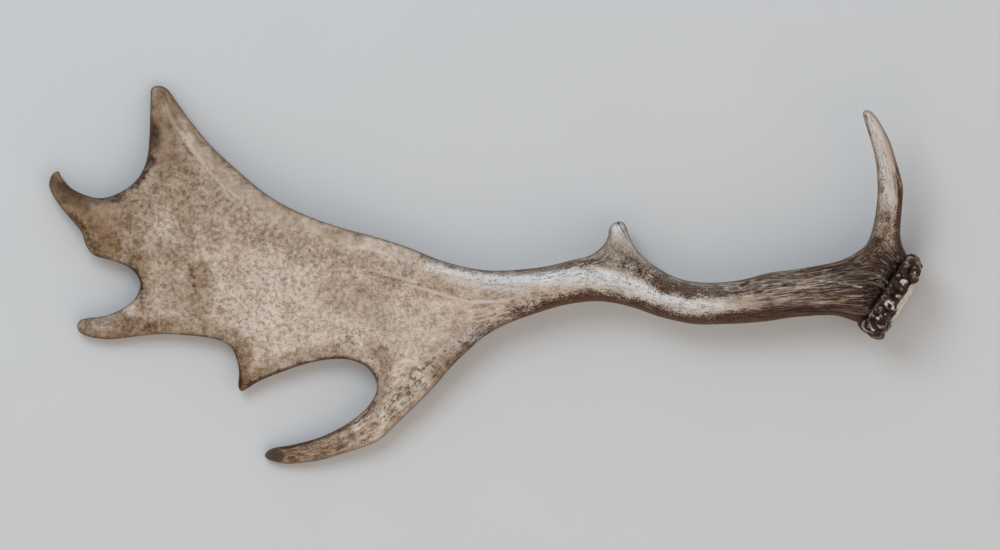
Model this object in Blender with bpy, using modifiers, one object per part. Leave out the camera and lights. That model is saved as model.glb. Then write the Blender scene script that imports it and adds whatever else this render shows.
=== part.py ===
"""Fallow deer antler, lying flat with the palm to the left and the burr to the right.

Metres, +Z up. +X runs along the antler from the palm points to the burr, and the origin is on the
surface that it lies on. The antler is modelled flat, as a web with round limbs in it. It is fused into
one skin, given its ridges, lifted into the arch that it rests in, and parted at its main forks.
"""
import math

import bmesh
import bpy
import numpy as np
from mathutils import Matrix, Vector

# Driving dimensions. Lists of places are in millimetres and are turned to metres by MM.
MM = 0.001
WEB_THICKNESS = 8.0 * MM
WEB_EDGE_RADIUS = 3.0 * MM
SKIN_VOXEL = 1.5 * MM
SKIN_TRIANGLES = 8300
FORK_GAP = 0.3 * MM

# The outline of the antler seen from above, without the burr, stretch by stretch.
OUTLINE = {
    "brow tine, outer edge": [
        (315, 16), (313, 23), (312, 31.5), (313, 46.5), (314, 63), (312, 74), (308.5, 85), (304, 99),
        (297, 112.5), (291, 120.5)],
    "brow tine, tip and inner edge": [
        (287, 122.5), (284.5, 121), (285.5, 115.5), (290, 102), (294.5, 87), (296.5, 72), (296, 58.5),
        (294, 45), (291, 33), (287, 23), (280.5, 17), (271, 11.5)],
    "beam, upper edge": [
        (259.5, 8), (237, 4), (214.5, 1), (192, -4.5), (169.5, -6.5), (148.5, -4), (132, 3.5), (119, 13.5)],
    "trez tine": [
        (112, 22), (108.5, 30), (106, 37), (102.5, 39.5), (97, 38), (94, 34), (93, 28), (89, 21), (79.5, 14)],
    "neck": [
        (64.5, 10), (42, 5), (12, 2.5), (-10.5, 4.5), (-33, 10.5)],
    "front margin": [
        (-55.5, 19.5), (-78, 27), (-108, 35), (-138, 46), (-160.5, 58), (-183, 76), (-204, 95.5),
        (-220.5, 115), (-231, 129.5)],
    "front point": [
        (-238, 139), (-245, 142), (-250, 139), (-250.5, 130.5), (-251, 108), (-252.5, 89)],
    "upper bay": [
        (-257, 76), (-265, 66.5), (-276, 60), (-288, 57), (-300, 59.5), (-310.5, 65), (-317, 72.5)],
    "upper point": [
        (-320, 77), (-324.5, 74.5), (-327, 68), (-325, 61.5), (-318, 50.5), (-309, 40), (-302, 31),
        (-298.5, 21), (-292.5, 14)],
    "lower bay": [
        (-280.5, 10.5), (-268.5, 6), (-261, -0.5), (-258, -8), (-262, -18.5), (-271.5, -26),
        (-285, -31.5), (-297, -33)],
    "lower point": [
        (-303.5, -35), (-305.5, -40), (-302, -45), (-292, -48), (-279, -49), (-262, -47)],
    "lower margin": [
        (-241.5, -45), (-217, -46.5), (-199.5, -49.5), (-190, -55), (-185.5, -64.5), (-184, -74)],
    "heel point": [
        (-184.5, -84), (-182, -88), (-177, -85.5), (-168, -80)],
    "rear bay": [
        (-153, -74), (-134, -67.5), (-115.5, -64), (-100.5, -64.5), (-88.5, -69.5), (-81.5, -79),
        (-81, -89), (-89, -101.5), (-104, -113), (-123, -122.5), (-143, -128)],
    "rear tine": [
        (-159, -131), (-164.5, -136), (-160.5, -140), (-147, -142.5), (-124.5, -140), (-100.5, -133),
        (-79.5, -125), (-63, -110)],
    "outer margin": [
        (-40.5, -88), (-24, -69), (-10, -55.5), (0, -47), (16, -38), (42, -28.5)],
    "beam, lower edge": [
        (64.5, -22.5), (87, -20.5), (109.5, -24.5), (133.5, -32.5), (158, -37.5), (181, -37.5),
        (207, -36), (237, -32), (263, -31), (283, -36.5)],
    "inside the burr": [
        (297, -33), (307, -17), (310, 3)],
}

# Each limb is a row of stations along its middle: x, y and radius.
LIMBS = {
    "beam": [
        (307, -17, 20), (283.5, -12, 21), (266, -10.5, 20.5), (237, -14, 18), (214.5, -17, 18),
        (199.5, -20, 16.5), (177, -22, 16), (154.5, -21.5, 16), (133.5, -16.5, 16), (117, -11, 15.5),
        (102, -7, 15), (87, -5, 15.5), (72, -5.5, 16), (57, -8, 16), (42, -12, 16), (27, -15, 16),
        (12, -19, 14.5), (-14, -23, 11), (-40.5, -26, 8), (-78, -27, 5.5), (-110, -25, 3.5)],
    "brow tine": [
        (294, -3, 15), (298.5, 12, 14), (300.5, 23, 12), (302, 34, 11), (304, 49, 9.5), (305, 64.5, 8.5),
        (302.5, 83, 7), (298.5, 97.5, 6), (293.5, 109, 5), (288.5, 118, 4)],
    "trez tine": [
        (96, -3, 13), (99, 14, 11), (100.5, 27, 8), (100.5, 34, 5.5)],
    "front rib": [
        (12, -12, 10), (-25, -10, 7.5), (-63, 4, 5.5), (-123, 24, 4.8), (-175.5, 50, 4.8), (-213, 80, 5.2),
        (-232, 104, 6.5), (-241.5, 127, 7), (-244.5, 135, 6.5)],
    "rear tine": [
        (5, -27, 8), (-18, -48, 5.5), (-42, -72, 7), (-70.5, -96, 10), (-89, -113, 9), (-112, -126, 8.5),
        (-138, -134, 7.5), (-157, -136, 5.5), (-160, -136, 4.5)],
    "lower point": [
        (-243, -33, 4.5), (-265.5, -36, 6), (-284, -40, 7), (-297, -40, 6), (-301, -40, 5)],
    "upper point": [
        (-292, 44, 4.5), (-310.5, 58, 6), (-321, 68, 6), (-323, 72, 4.5)],
    "heel point": [
        (-166.5, -64.5, 4.5), (-177, -78, 5), (-181, -84, 3.5)],
}

# Height of the middle of the antler above the surface it lies on: x, y and height.
HEIGHTS = [
    (307, -17, 35.5), (267, -10, 34), (200, -20, 32), (124, -16, 31), (57, -7, 30), (-3, -20, 29),
    (-63, -27, 28), (-138, -12, 27), (-213, 10, 24), (-280, 33, 18), (-324, 70, 11), (-302, -40, 9),
    (-237, 100, 16), (-244, 138, 6.3), (-63, -87, 20), (-108, -124, 13), (-160, -136, 6), (-182, -86, 11),
    (-228, -44, 14), (-123, -66, 17), (-168, 62, 28), (98, 12, 29), (100, 36, 20), (301, 22, 38),
    (304, 63, 46), (286, 120, 60), (-53, 18, 31)]

# The middle of the whole antler's box in the frame of these lists. The finished antler is moved by it.
BOX_MIDDLE = (1.8, -0.3)

# The burr is a ring of pearls round an axis that leans away from the beam's own line.
BURR_CENTRE = (307, -17)
BURR_ANGLE = math.radians(-32)
BURR_DISC_RADIUS = 30
BURR_DISC_DEPTH = 13
BURR_RING_RADIUS = 30
BURR_PEARLS = 24
BURR_PEARL_RADIUS = 4.7
SEAL_RADIUS = 20
SEAL_FACE_OFFSET = 11.5

# Ridges along the beam: how many round it, how high, and where they fade out.
RIDGE_COUNT = 11
RIDGE_HEIGHT = 0.9
RIDGE_FADE = (110, 220)

# Forks: a point on the cut, the heading of the limb beyond it in degrees, how far the limb reaches to
# the right and left of that heading, and how far it goes on.
FORKS = {
    "brow_tine": ((300, 23), 90, 26, 26, 120),
    "trez_tine": ((100, 21), 90, 26, 26, 40),
    "palm": ((27, -10), 180, 220, 220, 400),
    "front_point": ((-230, 100), 90, 45, 45, 70),
    "upper_point": ((-301.5, 48.5), 141, 22, 22, 60),
    "lower_point": ((-271, -36), 180, 17, 17, 60),
    "heel_point": ((-174, -70), 239, 17, 17, 40),
    "rear_tine": ((-70, -95), 225, 43, 22, 130),
}
PALM_FORKS = ("front_point", "upper_point", "lower_point", "heel_point", "rear_tine")

COLOURS = {
    "beam": (0.36, 0.24, 0.15), "brow_tine": (0.55, 0.46, 0.34), "trez_tine": (0.52, 0.44, 0.33),
    "palm": (0.50, 0.40, 0.29), "front_point": (0.46, 0.36, 0.26), "upper_point": (0.40, 0.29, 0.19),
    "lower_point": (0.45, 0.35, 0.25), "heel_point": (0.46, 0.36, 0.26), "rear_tine": (0.44, 0.34, 0.25)}


def clear_scene():
    for old in list(bpy.data.objects):
        bpy.data.objects.remove(old, do_unlink=True)


def new_collection(name):
    collection = bpy.data.collections.new(name)
    bpy.context.scene.collection.children.link(collection)
    return collection


def evaluated_mesh(source):
    """The object's mesh with its modifiers applied, in world space, with the loose caps welded on."""
    graph = bpy.context.evaluated_depsgraph_get()
    mesh = bpy.data.meshes.new_from_object(source.evaluated_get(graph))
    mesh.transform(source.matrix_world)
    soft = bmesh.new()
    soft.from_mesh(mesh)
    bmesh.ops.remove_doubles(soft, verts=soft.verts, dist=1e-6)
    soft.to_mesh(mesh)
    soft.free()
    return mesh


def limb_tube(name, stations):
    """A round limb: a smooth curve through the stations, as thick at each as the station says."""
    curve = bpy.data.curves.new(name, "CURVE")
    curve.dimensions = "3D"
    curve.bevel_depth = 1.0
    curve.bevel_resolution = 5
    curve.resolution_u = 8
    curve.use_fill_caps = True
    spline = curve.splines.new("BEZIER")
    spline.bezier_points.add(len(stations) - 1)
    for point, (x, y, radius) in zip(spline.bezier_points, stations):
        point.co = (x * MM, y * MM, 0)
        point.radius = radius * MM
        point.handle_left_type = point.handle_right_type = "AUTO"
    return bpy.data.objects.new(name, curve)


def web_plate():
    """The flat web: the whole outline filled and extruded, with rounded edges."""
    points = [point for stretch in OUTLINE.values() for point in stretch]
    curve = bpy.data.curves.new("web", "CURVE")
    curve.dimensions = "2D"
    curve.fill_mode = "BOTH"
    curve.resolution_u = 6
    curve.extrude = WEB_THICKNESS / 2 - WEB_EDGE_RADIUS
    curve.bevel_depth = WEB_EDGE_RADIUS
    curve.bevel_resolution = 3
    curve.offset = -WEB_EDGE_RADIUS
    spline = curve.splines.new("BEZIER")
    spline.bezier_points.add(len(points) - 1)
    spline.use_cyclic_u = True
    for point, (x, y) in zip(spline.bezier_points, points):
        point.co = (x * MM, y * MM, 0)
        point.handle_left_type = point.handle_right_type = "AUTO"
    return bpy.data.objects.new("web", curve)


def burr_frame():
    """World matrix of the burr: its own Z is the axis, pointing away from the beam."""
    axis = Vector((math.cos(BURR_ANGLE), math.sin(BURR_ANGLE), 0))
    place = Matrix.Translation((BURR_CENTRE[0] * MM, BURR_CENTRE[1] * MM, 0))
    return place @ axis.to_track_quat("Z", "Y").to_matrix().to_4x4()


def add_ball(soft, centre, radii, frame):
    """An egg with these three radii at this place in the burr's frame, in millimetres."""
    size = Matrix.Diagonal((radii[0] * MM, radii[1] * MM, radii[2] * MM, 1))
    place = frame @ Matrix.Translation(Vector(centre) * MM) @ size
    bmesh.ops.create_icosphere(soft, subdivisions=3, radius=1, matrix=place)


def burr_lumps():
    """The burr: a thick ring under two staggered rows of pearls, and the seal bulging out of it."""
    frame = burr_frame()
    soft = bmesh.new()
    bmesh.ops.create_cone(soft, cap_ends=True, segments=48, radius1=BURR_DISC_RADIUS * MM,
                          radius2=BURR_DISC_RADIUS * MM, depth=BURR_DISC_DEPTH * MM, matrix=frame)
    for number in range(BURR_PEARLS):
        angle = math.tau * number / BURR_PEARLS
        side = 4.2 if number % 2 else -3.8
        swell = 1 + 0.16 * math.sin(3.7 * number) + 0.10 * math.sin(1.3 * number + 1)
        ring = BURR_RING_RADIUS + 0.8 * math.cos(2.1 * number)
        centre = (ring * math.cos(angle), ring * math.sin(angle), side)
        add_ball(soft, centre, [BURR_PEARL_RADIUS * swell] * 3, frame)
    add_ball(soft, (0, 0, 3), (SEAL_RADIUS, SEAL_RADIUS, 10.5), frame)
    mesh = bpy.data.meshes.new("burr")
    soft.to_mesh(mesh)
    soft.free()
    return bpy.data.objects.new("burr", mesh)


def fuse(shapes, collection):
    """One skin over every shape: voxel remeshed, then smoothed so that the forks flow together."""
    soft = bmesh.new()
    for shape in shapes:
        collection.objects.link(shape)
        soft.from_mesh(evaluated_mesh(shape))
    mesh = bpy.data.meshes.new("skin")
    soft.to_mesh(mesh)
    soft.free()
    skin = bpy.data.objects.new("skin", mesh)
    collection.objects.link(skin)
    remesh = skin.modifiers.new("one skin", "REMESH")
    remesh.mode = "VOXEL"
    remesh.voxel_size = SKIN_VOXEL
    smooth = skin.modifiers.new("flowing forks", "SMOOTH")
    smooth.factor = 0.5
    smooth.iterations = 5
    for shape in shapes:
        shape.hide_render = True
    fused = bpy.data.objects.new("fused", evaluated_mesh(skin))
    collection.objects.link(fused)
    return fused


def rise(x, y):
    """Height of the antler's middle at each place: a thin plate bent through the HEIGHTS."""
    known = np.array(HEIGHTS, dtype=float)
    places, heights = known[:, :2], known[:, 2]

    def bending(distance_squared):
        return distance_squared * np.log(distance_squared + 1e-9)

    between = ((places[:, None] - places[None]) ** 2).sum(axis=2)
    level = np.column_stack([np.ones(len(places)), places])
    system = np.block([[bending(between), level], [level.T, np.zeros((3, 3))]])
    weights = np.linalg.solve(system, np.concatenate([heights, np.zeros(3)]))
    wanted = np.column_stack([x, y])
    away = ((wanted[:, None] - places[None]) ** 2).sum(axis=2)
    return bending(away) @ weights[:-3] + weights[-3] + wanted @ weights[-2:]


def shape_skin(fused):
    """Raises the ridges round the beam, then lifts the flat antler into its arch."""
    mesh = fused.data
    place = np.empty(len(mesh.vertices) * 3, dtype=np.float32)
    mesh.vertices.foreach_get("co", place)
    place = place.reshape(-1, 3).astype(float) / MM
    x, y, z = place.T
    stations = np.array(LIMBS["beam"][::-1], dtype=float)
    middle = np.interp(x, stations[:, 0], stations[:, 1])
    around = np.arctan2(z, y - middle)
    along = np.clip((x - RIDGE_FADE[0]) / (RIDGE_FADE[1] - RIDGE_FADE[0]), 0, 1)
    near = np.clip((290 - x) / 15, 0, 1) * np.clip((40 - np.abs(y - middle)) / 10, 0, 1)
    height = RIDGE_HEIGHT * along * near * np.cos(RIDGE_COUNT * around + 0.02 * x)
    place[:, 1] += height * np.cos(around)
    place[:, 2] += height * np.sin(around) + rise(x, y)
    mesh.vertices.foreach_set("co", (place * MM).astype(np.float32).ravel())
    mesh.update()


def thinned(fused):
    """The skin with only the faces that its shape needs, set down on the surface."""
    thin = fused.modifiers.new("fewer faces", "DECIMATE")
    thin.ratio = SKIN_TRIANGLES / sum(len(face.vertices) - 2 for face in fused.data.polygons)
    skin = bpy.data.objects.new("thinned", evaluated_mesh(fused))
    lowest = min(vertex.co.z for vertex in skin.data.vertices)
    skin.data.transform(Matrix.Translation((0, 0, -lowest)))
    return skin


def cut_box(name, fork, grow, collection):
    """A box over everything beyond a fork. Grown, it takes the gap off the limb that stays."""
    (x, y), heading, right, left, reach = fork
    turn = Matrix.Rotation(math.radians(heading), 4, "Z")
    size = Vector((reach * MM + 2 * grow, (right + left) * MM + 2 * grow, 0.3))
    middle = Vector((reach / 2 * MM, (left - right) / 2 * MM, 0))
    place = Matrix.Translation((x * MM, y * MM, 0)) @ turn @ Matrix.Translation(middle)
    mesh = bpy.data.meshes.new(name)
    soft = bmesh.new()
    bmesh.ops.create_cube(soft, size=1, matrix=place @ Matrix.Diagonal((*size, 1)))
    soft.to_mesh(mesh)
    soft.free()
    box = bpy.data.objects.new(name, mesh)
    box.hide_render = True
    box.display_type = "WIRE"
    collection.objects.link(box)
    return box


def seal_box(lift, collection):
    """A box past the seal, whose near side leaves a small flat face on it."""
    side = 0.12
    frame = Matrix.Translation((0, 0, lift)) @ burr_frame()
    place = frame @ Matrix.Translation((0, 0, SEAL_FACE_OFFSET * MM + side / 2))
    mesh = bpy.data.meshes.new("seal cut")
    soft = bmesh.new()
    bmesh.ops.create_cube(soft, size=side, matrix=place)
    soft.to_mesh(mesh)
    soft.free()
    box = bpy.data.objects.new("seal cut", mesh)
    box.hide_render = True
    box.display_type = "WIRE"
    collection.objects.link(box)
    return box


def bone_material(name):
    material = bpy.data.materials.new(name + " bone")
    material.use_nodes = True
    shader = material.node_tree.nodes["Principled BSDF"]
    shader.inputs["Base Color"].default_value = (*COLOURS[name], 1)
    shader.inputs["Roughness"].default_value = 0.6
    shader.inputs["Metallic"].default_value = 0
    return material


def piece(name, skin, keep, drop, collection):
    """One node: the skin inside the keep box, if there is one, and outside the drop boxes."""
    part = bpy.data.objects.new(name, skin.data.copy())
    collection.objects.link(part)
    if keep:
        cut = part.modifiers.new("beyond the fork", "BOOLEAN")
        cut.operation = "INTERSECT"
        cut.object = keep
    for box in drop:
        cut = part.modifiers.new("without " + box.name, "BOOLEAN")
        cut.operation = "DIFFERENCE"
        cut.object = box
    part.data.materials.append(bone_material(name))
    return part


def build():
    clear_scene()
    antler = new_collection("Fallow deer antler")
    helpers = new_collection("Cutters and raw shapes")
    shapes = [limb_tube(name + " limb", stations) for name, stations in LIMBS.items()]
    fused = fuse(shapes + [web_plate(), burr_lumps()], helpers)
    shape_skin(fused)
    skin = thinned(fused)
    keep = {name: cut_box(name + " keep", fork, 0, helpers) for name, fork in FORKS.items()}
    drop = {name: cut_box(name + " drop", fork, FORK_GAP, helpers) for name, fork in FORKS.items()}
    seal = seal_box(rise(*np.array([BURR_CENTRE]).T)[0] * MM, helpers)
    beam_forks = [drop["brow_tine"], drop["trez_tine"], drop["palm"], seal]
    piece("beam", skin, None, beam_forks, antler)
    piece("palm", skin, keep["palm"], [drop[name] for name in PALM_FORKS], antler)
    for name in ("brow_tine", "trez_tine", *PALM_FORKS):
        piece(name, skin, keep[name], [], antler)
    for helper in list(helpers.objects):
        if not helper.name.endswith((" keep", " drop", " cut")):
            bpy.data.objects.remove(helper, do_unlink=True)
    origin = bpy.data.objects.new("box middle", None)
    origin.location = (-BOX_MIDDLE[0] * MM, -BOX_MIDDLE[1] * MM, 0)
    helpers.objects.link(origin)
    for moved in list(antler.objects) + list(helpers.objects):
        if moved is not origin:
            moved.parent = origin


build()
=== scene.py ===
import math

import bmesh
import bpy
import numpy as np
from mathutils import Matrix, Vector


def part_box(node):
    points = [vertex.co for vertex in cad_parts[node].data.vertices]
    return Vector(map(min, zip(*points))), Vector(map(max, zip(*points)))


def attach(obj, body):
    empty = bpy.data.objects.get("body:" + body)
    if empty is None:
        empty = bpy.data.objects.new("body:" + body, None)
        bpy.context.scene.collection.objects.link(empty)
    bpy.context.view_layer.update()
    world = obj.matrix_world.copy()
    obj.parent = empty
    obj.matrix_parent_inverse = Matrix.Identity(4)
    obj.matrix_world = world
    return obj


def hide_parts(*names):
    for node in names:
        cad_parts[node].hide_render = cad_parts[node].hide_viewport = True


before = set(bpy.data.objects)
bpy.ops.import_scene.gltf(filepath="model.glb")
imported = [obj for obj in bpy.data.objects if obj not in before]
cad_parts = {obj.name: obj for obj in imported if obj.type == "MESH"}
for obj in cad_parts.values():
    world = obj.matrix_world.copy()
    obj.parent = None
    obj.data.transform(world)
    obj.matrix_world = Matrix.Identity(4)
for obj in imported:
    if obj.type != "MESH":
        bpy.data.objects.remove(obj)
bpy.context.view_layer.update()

# The studio: a pale matt floor, seen straight down by a long lens so that the picture is nearly flat.
# A cool window stands at its upper left, a weak warm light at its lower right, and the pale room fills in.
MM = 0.001
PICTURE_WIDTH = 0.750
PICTURE_MIDDLE = (0.0102, -0.00045, 0.030)
LENS = 800
SENSOR = 36
CLIP_END = 60
FLOOR_REACH = 8


def linked(name, data):
    """A new object with the given data, linked into the scene."""
    made = bpy.data.objects.new(name, data)
    bpy.context.scene.collection.objects.link(made)
    return made


def soft_light(name, place, size, power, colour):
    """A square soft box that faces the middle of the antler. The camera doesn't see it."""
    data = bpy.data.lights.new(name, "AREA")
    data.shape = "SQUARE"
    data.size = size
    data.energy = power
    data.color = colour
    light = linked(name, data)
    light.location = place
    light.rotation_euler = (Vector(PICTURE_MIDDLE) - Vector(place)).to_track_quat("-Z", "Y").to_euler()
    light.visible_camera = False


camera_data = bpy.data.cameras.new("camera")
camera_data.lens = LENS
camera_data.sensor_width = SENSOR
camera_data.clip_end = CLIP_END
camera = linked("camera", camera_data)
camera.location = Vector(PICTURE_MIDDLE) + Vector((0, 0, PICTURE_WIDTH * LENS / SENSOR))
bpy.context.scene.camera = camera
bpy.context.scene.view_settings.view_transform = "Standard"

soft_light("window light", (-0.90, 1.35, 2.60), 1.5, 27, (0.80, 0.91, 1.0))
soft_light("room light", (0.70, -1.65, 1.95), 3.4, 19, (1.0, 0.72, 0.46))
world = bpy.data.worlds.new("room")
world.use_nodes = True
background = world.node_tree.nodes["Background"].inputs
background["Color"].default_value = (0.92, 0.96, 1.0, 1)
background["Strength"].default_value = 0.44
bpy.context.scene.world = world


class Wire:
    """A value in a material. Sums, products and differences of wires add the Math nodes for them."""

    def __init__(self, finish, socket):
        self.finish = finish
        self.socket = socket

    def maths(self, operation, *values, clamp=False):
        """A Math node over wires and numbers, as a wire."""
        settings = {"operation": operation, "use_clamp": clamp}
        return self.finish.node("ShaderNodeMath", settings, *values)

    def __add__(self, other):
        return self.maths("ADD", self, other)

    def __sub__(self, other):
        return self.maths("SUBTRACT", self, other)

    def __rsub__(self, other):
        return self.maths("SUBTRACT", other, self)

    def __mul__(self, other):
        return self.maths("MULTIPLY", self, other)

    __radd__ = __add__
    __rmul__ = __mul__

    def clamped(self):
        """Held between 0 and 1."""
        return self.maths("ADD", self, 0.0, clamp=True)

    def step(self, low, high):
        """0 below low and 1 above high, with a soft S between them."""
        settings = {"interpolation_type": "SMOOTHSTEP"}
        ends = {"From Min": low, "From Max": high}
        return self.finish.node("ShaderNodeMapRange", settings, Value=self, **ends)


class Finish:
    """A material's node tree, the one method that adds its nodes, and the colour painted so far."""

    def __init__(self, name, roughness):
        self.material = bpy.data.materials.new(name)
        self.material.use_nodes = True
        self.tree = self.material.node_tree
        self.shader = self.tree.nodes["Principled BSDF"]
        self.shader.inputs["Roughness"].default_value = roughness
        self.shader.inputs["Specular IOR Level"].default_value = 0.2
        self.colour = None

    def node(self, kind, settings, *values, output=0, **named):
        """Adds a node, sets its settings first and then its sockets, and returns its output as a wire."""
        made = self.tree.nodes.new(kind)
        for key, value in settings.items():
            setattr(made, key, value)
        for key, value in [*enumerate(values), *named.items()]:
            self.join(made.inputs[key], value)
        return Wire(self, made.outputs[output])

    def join(self, socket, value):
        """Links a wire to a socket, or gives the socket a value of its own."""
        if isinstance(value, Wire):
            self.tree.links.new(value.socket, socket)
        else:
            socket.default_value = value

    def place(self):
        """The piece's own coordinates, in millimetres."""
        spot = self.node("ShaderNodeTexCoord", {}, output="Object")
        return self.node("ShaderNodeVectorMath", {"operation": "SCALE"}, spot, Scale=1 / MM)

    def along(self, name):
        """What the mesh keeps at each of its points under a name."""
        return self.node("ShaderNodeAttribute", {"attribute_name": name}, output="Fac")

    def vector(self, x, y, z):
        """Three values as one vector."""
        return self.node("ShaderNodeCombineXYZ", {}, x, y, z)

    def parts(self, vector):
        """The three values of a vector."""
        return [self.node("ShaderNodeSeparateXYZ", {}, vector, output=axis) for axis in range(3)]

    def noise(self, vector, scale, detail=2.0, roughness=0.5, distortion=0.0):
        """Cloudy noise from 0 to 1 whose lumps are about 1 / scale across."""
        return self.node("ShaderNodeTexNoise", {}, Vector=vector, Scale=scale, Detail=detail,
                         Roughness=roughness, Distortion=distortion)

    def mix(self, amount, first, second, blend="MIX"):
        """Between two colours, by an amount from 0 to 1."""
        settings = {"data_type": "RGBA", "blend_type": blend, "clamp_factor": True}
        made = self.node("ShaderNodeMix", settings, amount).socket.node
        for socket, colour in zip((one for one in made.inputs if one.type == "RGBA"), (first, second)):
            self.join(socket, colour)
        return Wire(self, next(one for one in made.outputs if one.type == "RGBA"))

    def cover(self, amount, colour, blend="MIX"):
        """Lays a colour over the one painted so far, by an amount from 0 to 1."""
        self.colour = self.mix(amount, self.colour, colour, blend)

    def raise_bumps(self, height, strength, distance):
        """Lets the light fall as if the surface rose and sank by this height."""
        bump = self.node("ShaderNodeBump", {}, Height=height, Strength=strength, Distance=distance)
        self.join(self.shader.inputs["Normal"], bump)


# Colours are written as the eye reads them on the lit antler, and divided by how bright the light is. No
# surface gives back more than BRIGHTEST of the light.
LIT = np.array([0.708, 0.693, 0.662])
BRIGHTEST = 0.95


def shade(red, green, blue):
    """A colour from 0 to 255 as seen in the studio light, turned to the surface's own colour."""
    seen = np.array([red, green, blue]) / 255
    linear = np.where(seen > 0.04045, ((seen + 0.055) / 1.055) ** 2.4, seen / 12.92) / LIT
    return (*np.minimum(linear, BRIGHTEST), 1)


floor_mesh = bpy.data.meshes.new("floor")
corners = [(x * FLOOR_REACH, y * FLOOR_REACH, 0) for x, y in ((-1, -1), (1, -1), (1, 1), (-1, 1))]
floor_mesh.from_pydata(corners, [], [(0, 1, 2, 3)])
floor = linked("floor", floor_mesh)
paint = Finish("floor paint", 0.85)
where = paint.place()
cloud = paint.noise(where, 0.012, 3.0)
paint.join(paint.shader.inputs["Base Color"], paint.mix(cloud, shade(194, 193, 190), shade(197, 196, 193)))
paint.raise_bumps(paint.noise(where, 0.35, 3.0), strength=0.10, distance=0.001)
floor_mesh.materials.append(paint.material)


# The beam and its burr, and the plan that every piece is cut from. The whole antler is one grown bone:
# its outline is drawn flat, swollen by a formula into round limbs and a thin palm, and lifted into an arch.
# Places are in millimetres in the frame of the drawing, which BOX_MIDDLE moves to the model's own.
BOX_MIDDLE = (1.8, -0.3)

# LIFT holds the bone clear of the floor. The maps start at LEFT and BOTTOM and have cells of STEP, and FAR
# stands for any distance from the outline that is more than they measure.
LIFT = 0.25
STEP = 0.75
LEFT, BOTTOM = -336.0, -153.0
COLUMNS, ROWS = 900, 408
FAR = 8.0

# The outline seen from above, from the burr round the antler against the clock, and the growth that has
# left the beam by each stretch, which tells the grain which way to run. Tips part the stretches.
OUTLINE = [
    ("brow tine, outer edge", [
        (317, 12), (313.5, 22), (312, 31.5), (313, 46.5), (314, 63), (312, 74), (308.5, 85), (304, 99),
        (297, 112.5), (291, 120.5)], 116),
    ("brow tine, inner edge", [
        (286.6, 122.5), (284, 121), (284.8, 115.5), (289, 102), (293, 87), (294.7, 72), (294.8, 58.5),
        (293.4, 45), (290.8, 33), (287, 23), (280.5, 17), (271, 11.5)], 96),
    ("beam, upper edge", [
        (259.5, 8), (237, 4), (214.5, 1), (192, -4.5), (169.5, -6.5), (148.5, -4), (132, 3.5), (119, 13.5),
        (112, 22), (108.5, 30), (106, 37)], 96),
    ("neck, from the trez tine's tip", [
        (102.5, 39.5), (97, 38), (94, 34), (93, 28), (89, 21), (79.5, 14), (64.5, 10), (42, 5), (12, 2.5),
        (-10.5, 4.5), (-33, 10.5)], 80),
    ("front margin", [
        (-55.5, 19.5), (-78, 27), (-108, 35), (-138, 46), (-160.5, 58), (-183, 76), (-204, 95.5),
        (-220.5, 115), (-231, 129.5), (-238, 139)], 80),
    ("upper bay", [
        (-245, 141.4), (-250, 138.7), (-250.5, 130.5), (-251, 108), (-252.5, 89), (-257, 76), (-265, 66.5),
        (-276, 60), (-288, 57), (-300, 59.5), (-310.5, 65), (-317, 72.5)], 58),
    ("lower bay", [
        (-319.5, 77), (-324.2, 74.7), (-326.5, 68), (-324.8, 61.5), (-318, 50.5), (-309, 40), (-302, 31),
        (-298.5, 21), (-292.5, 14), (-280.5, 10.5), (-268.5, 6), (-261, -0.5), (-258, -8),
        (-262, -18.5), (-271.5, -26), (-285, -31.5), (-297, -33), (-303.5, -35)], 42),
    ("lower margin", [
        (-305.5, -40), (-302, -45), (-292, -48), (-279, -49), (-262, -47), (-241.5, -45), (-217, -46.5),
        (-199.5, -49.5), (-190, -55), (-185.5, -64.5), (-184, -74), (-184.5, -84)], 28),
    ("rear bay", [
        (-182, -88), (-177, -85.5), (-168, -80), (-153, -74), (-134, -67.5), (-115.5, -64),
        (-100.5, -64.5), (-88.5, -69.5), (-81.5, -79), (-81, -89), (-89, -101.5), (-104, -113),
        (-123, -122.5), (-143, -128), (-159, -131)], 18),
    ("outer margin and beam, lower edge", [
        (-164.5, -136), (-160.5, -140), (-147, -142.5), (-124.5, -140), (-100.5, -133), (-79.5, -125),
        (-63, -110), (-40.5, -88), (-24, -69), (-10, -55.5), (0, -47), (16, -38), (42, -28.5),
        (64.5, -22.5), (87, -20.5), (109.5, -24.5), (133.5, -32.5), (158, -37.5), (181, -37.5),
        (207, -36), (237, -32), (263, -31), (283, -36.5), (297, -33)], 0),
    ("into the burr, lower end", [(301, -27)], 22),
    ("into the burr, lower middle", [(305, -17)], 50),
    ("into the burr, upper middle", [(309, -6)], 78),
    ("into the burr, upper end", [(313, 4)], 102),
]

# How thick the bone would be, as half a thickness, where its limbs are wide: x, y and millimetres.
FULLNESS = [
    (307, -17, 60), (200, -20, 60), (100, -5, 55), (57, -7, 40), (20, -14, 16), (-10, -20, 9.0),
    (-40, -26, 6.6), (-78, -27, 5.2), (-140, -12, 4.3), (-213, 10, 4.2), (-270, 35, 4.6), (-310, 58, 7),
    (-290, -40, 8), (-240, -33, 4.8), (-232, 104, 7.2), (-243, 132, 9), (-213, 80, 5.4), (-175, 50, 5.0),
    (-123, 24, 5.0), (-63, 6, 6.0), (-25, -4, 9.0), (-180, -50, 4.6), (-178, -80, 6), (-110, -50, 4.4),
    (-18, -48, 6.5), (-45, -72, 7.5), (-70, -96, 12), (-100, -120, 14), (-150, -136, 12),
    (303, 50, 40), (290, 110, 30), (100, 26, 11), (100, 38, 8)]

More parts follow.
